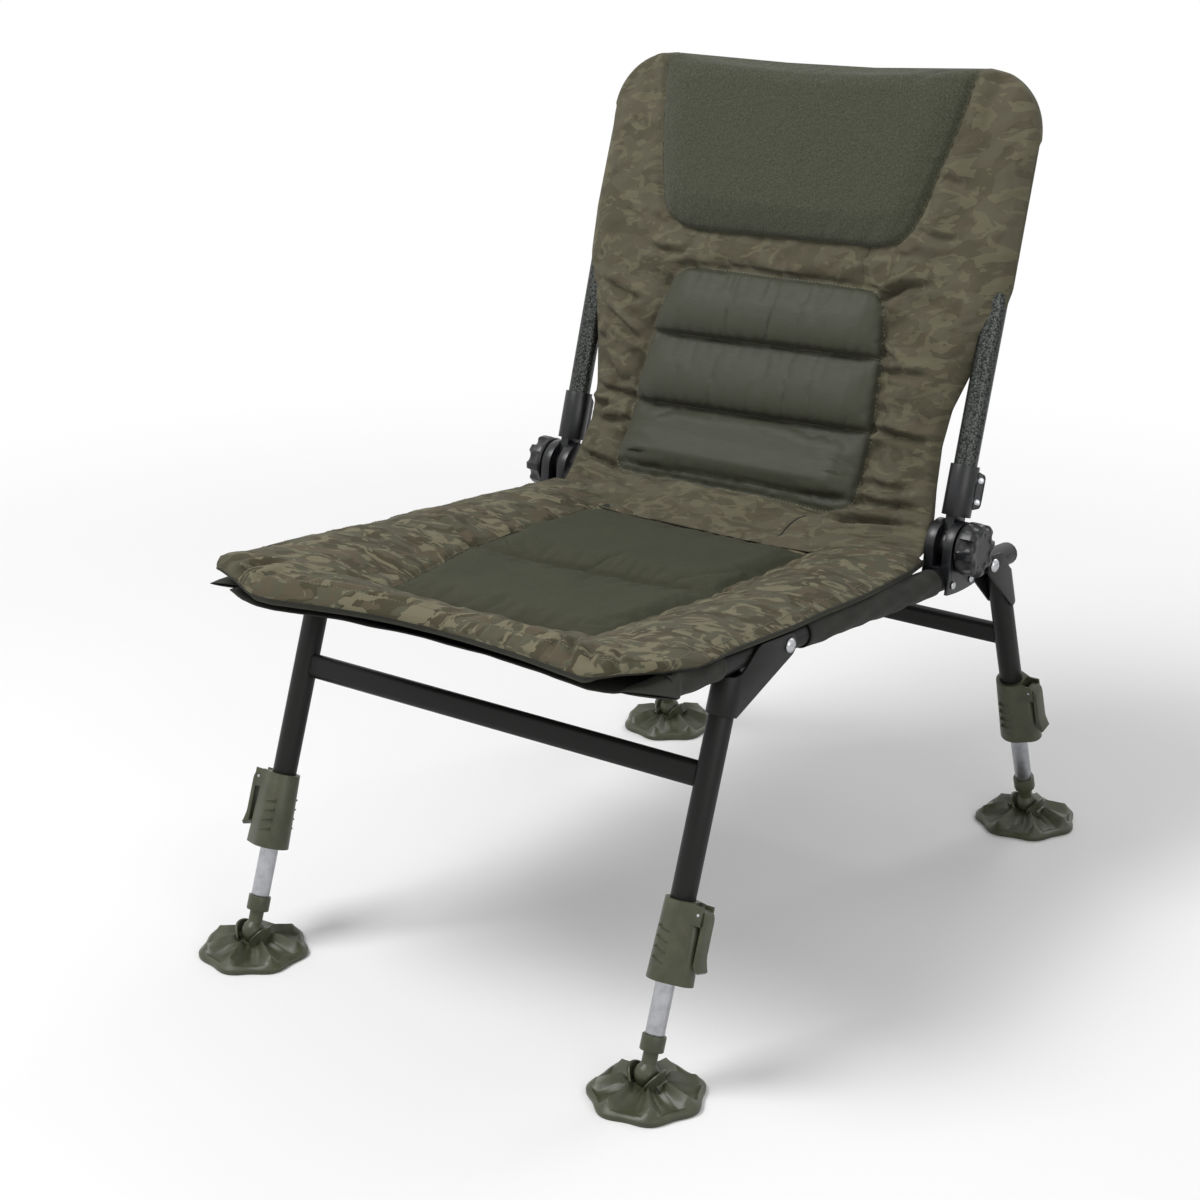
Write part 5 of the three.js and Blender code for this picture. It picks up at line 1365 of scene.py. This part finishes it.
# %% Back cushion relief
x, v = back_pad.u, back_pad.v
to_satin, to_head = seam_distance(x, v, satin_line), seam_distance(x, v, head_line)
to_channel = np.min([seam_distance(x, v, line) for line in channel_lines], 0)
to_cover_seam = np.min([seam_distance(x, v, line) for line in COVER_SEAMS], 0)
in_satin, in_head = inside(x, v, SATIN), inside(x, v, HEAD)
in_border = ~(in_satin | in_head)
calm = smooth(back_half_width(v, x) - np.abs(x), 0, 0.016) * smooth(BACK_TOP - v, 0, 0.016)

# The channels: 0 at a lower seam, 1 at the next, and most of the padding just above the lower one.
level = v - CHANNEL_SLOPE * x
channel_share = np.mod((level - CHANNELS[0]) / (CHANNELS[1] - CHANNELS[0]), 1)
slipped = np.sin(math.pi * channel_share ** 0.48) ** 0.8
side_share = np.sqrt(np.clip(to_satin / CHANNEL_ROUND, 0, 1))

# The roll of cloth between the satin and the head panel.
between = np.clip((v - 0.249) / (0.286 + 0.03 * x - 0.249), 0, 1)
roll = np.sin(math.pi * between ** 0.7) * (1 - smooth(np.abs(x + 0.01), 0.12, 0.17))
bunched = 1 - smooth(v, -0.06, 0.10)
hills = (0.002 + 0.003 * bunched) * wavy(x * 0.6, v, 21, 0.075) + 0.001 * wavy(x, v, 22, 0.03)
gathers = puckers(v * 0.9 - np.abs(x) * 0.5, to_satin, 7, GATHER_DEPTH, 0.026, 0.030)
top_gathers = puckers(x + v * 0.3, np.abs(v - 0.250), 9, TOP_GATHER_DEPTH, 0.012, 0.017)
border_creases = FOLD_GAIN * creases(x, v, BACK_FOLDS, BACK_FOLD_WIDTH)
relief = (np.where(in_satin, CHANNEL_RISE * slipped * side_share, 0)
          + np.where(in_head, HEAD_PUFF * np.sqrt(np.clip(to_head / 0.035, 0, 1)), 0)
          + groove(to_satin, 0.0035, 0.004) + groove(to_head, 0.0045, 0.004)
          + np.where(in_satin, groove(to_channel, 0.003, 0.0025), 0)
          + np.where(in_satin, puckers(x, to_satin, 5, 0.0022, 0.012, 0.013), 0)
          + np.where(in_border, ROLL_RISE * roll + border_creases, 0)
          + np.where(in_border, gathers, 0) + np.where(in_border, top_gathers, 0)
          + np.where(in_border, groove(to_cover_seam, 0.002, 0.002), 0) + np.where(in_border, hills, 0))
press(back_pad, calm * relief)
print("back relief in mm:", [round(float(end) * 1000, 1) for end in (relief.min(), relief.max())])

# %% Back cushion piece
def back_cloths(u, v, kind):
    """0 camouflage, 1 satin, 2 fleece, which also runs over the top edge, 3 the plain rear."""
    front = np.where(inside(u, v, SATIN), 1, np.where(inside(u, v, HEAD), 2, 0))
    band = np.where(inside(u, v - 2 * BAND_STEP, HEAD), 2, 0)
    return np.where(kind == 0, front, np.where(kind < 2, band, 3))


cloths = [camo_back, satin_panel, fleece_panel, under_cloth]
back_cushion = finish_pad("back_cushion", back_pad, cloths, back_cloths)
BEND_START, BEND_END = tuple(seat_point(0.0, 0.300, 0.0)), tuple(back_point(0.0, 0.050, 0.0))
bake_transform(back_cushion)
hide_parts("back_cover", "cover_fold")
print("back cushion", len(back_cushion.data.polygons), "faces")

# %% [markdown]
# ## Stitches and piping
# A stitch is a short rod with rounded ends, a piping a long one. Both follow a line drawn on the cloth:
# Pad.at gives the point of the cushion and its outward direction, and the rings of the rod are turned
# about the way from one point to the next. A bump texture could draw stitches too, but it stays flat
# at a seam's edge, where a real thread catches the light.

# %% Stitches and piping
STITCH_SHARES = np.array([-0.5, -0.36, 0, 0.36, 0.5])
STITCH_RADIUS_SHARES = np.array([0.15, 0.85, 1, 0.85, 0.15])
PIPING_STEP, SEAT_PIPING_RADIUS, BATCH = 0.0035, 0.0013, 200


def along_line(line, pitch):
    """Places every pitch along a line of straight pieces."""
    line = np.array(line, float)
    far = np.concatenate([[0], np.cumsum(np.linalg.norm(np.diff(line, axis=0), axis=1))])
    s = np.linspace(pitch / 2, far[-1] - pitch / 2, max(2, int(far[-1] / pitch)))
    return np.stack([np.interp(s, far, line[:, k]) for k in (0, 1)], -1)


def sewn(name, pad, lines, shader, radius, pitch=0.0, length=0.0):
    """Stitches of a length every pitch along lines on a pad, or a piping where length is 0."""
    shells, faces, count = [], [], 0
    for line in lines:
        if length:
            middle = along_line(line, pitch)
            way = np.gradient(middle, axis=0)
            way /= np.linalg.norm(way, axis=1, keepdims=True)
            places = middle[:, None] + way[:, None] * STITCH_SHARES[None, :, None] * length
            radii = STITCH_RADIUS_SHARES * radius
        else:
            places = along_line(line, PIPING_STEP)[None]
            radii = np.full(places.shape[1], radius)
            radii[[0, -1]] *= 0.1
        flat = places.reshape(-1, 2)
        parts = [pad.at(*flat[k:k + BATCH].T) for k in range(0, len(flat), BATCH)]
        point, outward = (np.concatenate(both).reshape(*places.shape[:2], 3) for both in zip(*parts))
        shell, quads = rods(point + outward * radius * 0.35, outward, radii)
        shells.append(shell)
        faces.append(quads + count)
        count += len(shell)
    return new_piece(name, np.concatenate(shells), np.concatenate(faces), [shader])


# %% Stitches of the back
def satin_foot(drop):
    """The satin panel's lower edge, a little below it."""
    return [(x, v - drop) for x, v in SATIN if v < 0.006]


leftmost = HEAD.index(min(HEAD))
head_edge = [place for place in HEAD[leftmost:] + HEAD[:leftmost] if place[1] < 0.48]
BACK_SEWN = [
    ("panel_stitches", [satin_line], light_thread, 0.0007, 0.0044, 0.0027),
    ("channel_stitches", [*channel_lines, satin_foot(0.0012)], light_thread, 0.0005, 0.0026, 0.0018),
    ("head_piping", [head_edge, COVER_SEAMS[0], satin_foot(0.0035)], cord_cloth, 0.0009),
    ("side_seam", COVER_SEAMS[1:], dark_cord, 0.0009)]
for name, lines, shader, *sizes in BACK_SEWN:
    piece = sewn(name, back_pad, lines, shader, *sizes)
    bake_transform(piece)
    print(name, "has", len(piece.data.polygons), "faces")

# %% Stitches of the seat
HEM = 0.009
front_hem = [(x, float(seat_front_edge(x)) + HEM) for x in np.linspace(-0.235, 0.225, 60)]
side_hems = [[(s * (float(seat_half_width(y, s)) - HEM), y) for y in np.linspace(-0.19 - 0.01 * s, 0.27, 20)]
             for s in (-1, 1)]
SEAT_SEWN = [
    ("middle_stitches", [panel_line], dark_thread, 0.0008, 0.0040, 0.0028),
    ("cross_stitches", [cross_line], light_thread, 0.0006, 0.0032, 0.0020),
    ("hem_stitches", [front_hem, *side_hems], light_thread, 0.0005, 0.0040, 0.0026)]
for name, lines, shader, *sizes in SEAT_SEWN:
    piece = sewn(name, seat_pad, lines, shader, *sizes)
    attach(piece, "seat")
    print(name, "has", len(piece.data.polygons), "faces")

# %% [markdown]
# ## The seat's piping
# A thin dark cord is sewn in where the top cloth meets the edge band. It runs once round the cushion,
# high on the sides and lower along the front, where the camouflage rolls over. Its place is a share of
# the way down the band, and a point of the cord lies between the two rows of the band next to it.

# %% Seat piping
r, c = rim_walk(*seat_pad.u.shape)
r, c = np.append(r, r[0]), np.append(c, c[0])
band = np.concatenate([seat_pad.top[r, c][None], seat_pad.band[:, np.append(np.arange(len(r) - 1), 0)]])
share = piping_share(seat_pad.u[r, c], seat_pad.v[r, c]) * len(seat_pad.band)
upper = np.floor(share).astype(int)
ring = mix(band[upper, np.arange(len(r))], band[upper + 1, np.arange(len(r))], (share - upper)[:, None])
sideways = ring - seat_pad.top.mean((0, 1))
sideways /= np.linalg.norm(sideways, axis=1, keepdims=True)
shell, quads = rods(ring[None], sideways[None], np.full(len(ring), SEAT_PIPING_RADIUS))
seat_piping = new_piece("seat_piping", shell, quads, [dark_cord])
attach(seat_piping, "seat")
print("piping of", len(ring), "rings")

# %% [markdown]
# ## The cloth under the seat
# The cushion lies on a plain cloth that is slung between the rails. Its long sides are sewn into
# sleeves that slide over the tubes, with a gap where the front leg brackets are bolted. In front the
# sleeves run past the rails and are sewn flat into pointed flaps. A simulated sheet would hang in its
# own way, so the sheet follows the cushion's underside by formula and can't cut into it.

# %% Under cloth
SHEET_HALF, BAY_HALF, SHEET_END = 0.244, 0.2245, 0.296
SHEET_GAP, SHEET_THICK, AT_RAIL = 0.0055, 0.0014, -0.002
SLEEVE_RADIUS, SLEEVE_CLOTH, FLAP, FLAP_DROP = 0.0146, 0.0012, 0.016, 0.004


def under_sheet():
    """A thin cloth from rail to rail: its height is the cushion's underside less a gap, and it is
    narrower at the brackets."""
    t, s = np.linspace(0, 1, 60)[:, None], np.linspace(-1, 1, 64)[None, :]
    y = mix(seat_front_edge(s * SHEET_HALF) + 0.006, SHEET_END + 0 * s, t)
    near_bracket = smooth(y, -0.122, -0.112) * (1 - smooth(y, 0.036, 0.046))
    x = s * mix(SHEET_HALF, BAY_HALF, near_bracket)
    drop = seat_sag(x, y) - PAD_THICK - SHEET_GAP
    height = mix(np.minimum(drop, AT_RAIL), AT_RAIL, smooth(np.abs(s), 0.9, 1))
    height = height + 0.0006 * wavy(x, y, 31, 0.06) * (1 - smooth(np.abs(s), 0.8, 0.95))
    pad = Pad(seat_point(x, y, height), seat_point(x, y, height - SHEET_THICK), x, y, 1, 0.0)
    return finish_pad("under_cloth", pad, [under_cloth], lambda u, v, kind: 0 * kind)


def sleeve(name, x0, start, end, tip=0.0):
    """A cloth tube round a rail with soft folds; over the length tip it runs flat into a flap. Its
    points are an outer and an inner grid, joined at both ends by a ring of faces."""
    rows, around = 60, 40
    t = np.linspace(0, 1, rows)[:, None]
    a = np.linspace(0, 2 * math.pi, around, endpoint=False)[None, :]
    y = mix(start - tip, end, t) + 0 * a
    flat = (1 - smooth(y, start - tip, start + 0.020)) if tip else 0 * y
    y = y + 0.010 * flat * np.cos(a)
    fold = 0.0007 * np.sin(3 * a + y * 60) * np.sin(y * 110) + 0.0005 * np.sin(5 * a - y * 90)
    radius = SLEEVE_RADIUS + fold * smooth(t, 0, 0.1) * smooth(1 - t, 0, 0.1)
    wide = radius * (1 + 0.75 * flat)
    tall = radius * (1 - 0.85 * flat)
    inner_wide, inner_tall = wide - SLEEVE_CLOTH, np.maximum(tall - SLEEVE_CLOTH, 0.0002)
    points = np.concatenate([
        seat_point(x0 + np.cos(a) * w, y, np.sin(a) * h - FLAP_DROP * flat).reshape(-1, 3)
        for w, h in ((wide, tall), (inner_wide, inner_tall))])
    skin = grid_quads(rows, around, close=True)[:, ::-1]
    lining = grid_quads(rows, around, rows * around, close=True)
    ends = []
    for row, turned in ((0, False), (rows - 1, True)):
        first = row * around + np.arange(around)
        second = np.roll(first, -1)
        ring = np.stack([first, second, second + rows * around, first + rows * around], -1)
        ends.append(ring[:, ::-1] if turned else ring)
    piece = new_piece(name, points, np.concatenate([skin, lining, *ends]), [under_cloth])
    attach(piece, "seat")
    return piece


sheet_piece = under_sheet()
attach(sheet_piece, "seat")
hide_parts("seat_cloth")
for side, sign in SIDES.items():
    sleeve(f"{side}_front_sleeve", sign * RAIL_X, -0.196, -0.108, FLAP)
    sleeve(f"{side}_rear_sleeve", sign * RAIL_X, 0.040, SHEET_END)

# %% [markdown]
# ## Floor and light
# The floor and the background are plain and pale. Three large, soft lamps and an even sky light the
# chair so that a colour renders about as it is written. The sky looks white to the camera and to glossy
# surfaces, and gives the object no more light for it.

# %% Floor
FLOOR = 9
floor_mesh = bpy.data.meshes.new("floor")
corners = [(-FLOOR, -FLOOR, 0), (FLOOR, -FLOOR, 0), (FLOOR, FLOOR, 0), (-FLOOR, FLOOR, 0)]
floor_mesh.from_pydata(corners, [], [(0, 1, 2, 3)])
floor = bpy.data.objects.new("floor", floor_mesh)
scene.collection.objects.link(floor)
floor_look = Shader("floor", "f4f4f4", 0.9)
east, north, _ = floor_look.parts(floor_look.place())
away = (east * east + north * north).math("SQRT").step(0.75, 2.2)
eye = floor_look.node("LightPath")
white = floor_look.node("Emission", {"Color": "ffffff", "Strength": 1.0})
plain = floor_look.tree.nodes["Principled BSDF"].outputs[0]
blend = floor_look.node("MixShader", {0: away * eye})
floor_look.tree.links.new(plain, blend.socket.node.inputs[1])
floor_look.tree.links.new(white.socket, blend.socket.node.inputs[2])
floor_look.tree.links.new(blend.socket, floor_look.tree.nodes["Material Output"].inputs[0])
floor_mesh.materials.append(floor_look.material)
print("floor of", 2 * FLOOR, "by", 2 * FLOOR, "m")

# %% Sky
SKY_LIGHT = 0.42
world = bpy.data.worlds.new("studio")
scene.world = world
world.use_nodes = True
sky = world.node_tree
background = sky.nodes["Background"]
path = sky.nodes.new("ShaderNodeLightPath")
seen = path.outputs["Is Camera Ray"]
for name in ("Is Glossy Ray", "Is Transmission Ray"):
    total = sky.nodes.new("ShaderNodeMath")
    total.operation = "MAXIMUM"
    sky.links.new(seen, total.inputs[0])
    sky.links.new(path.outputs[name], total.inputs[1])
    seen = total.outputs[0]
strength = sky.nodes.new("ShaderNodeMapRange")
sky.links.new(seen, strength.inputs["Value"])
strength.inputs["To Min"].default_value = SKY_LIGHT
strength.inputs["To Max"].default_value = 1.0
sky.links.new(strength.outputs[0], background.inputs["Strength"])
background.inputs["Color"].default_value = (1, 1, 1, 1)
print("the sky lights the chair with", SKY_LIGHT)

# %% Lamps
def lamp(name, place, target, size, power):
    """A square soft light that faces a point."""
    data = bpy.data.lights.new(name, "AREA")
    data.size, data.energy = size, power
    made = bpy.data.objects.new(name, data)
    made.location = place
    made.rotation_euler = (Vector(target) - Vector(place)).to_track_quat("-Z", "Y").to_euler()
    scene.collection.objects.link(made)


MIDDLE = (0, 0, 0.45)
lamp("key_light", (-1.1, -1.5, 3.1), MIDDLE, 1.4, 78)
lamp("fill_light", (2.6, -1.4, 1.6), MIDDLE, 1.8, 20)
lamp("rim_light", (0.4, 2.4, 2.4), MIDDLE, 1.6, 22)
scene.view_settings.view_transform = "Standard"
print("lamps:", [light.name for light in bpy.data.lights])
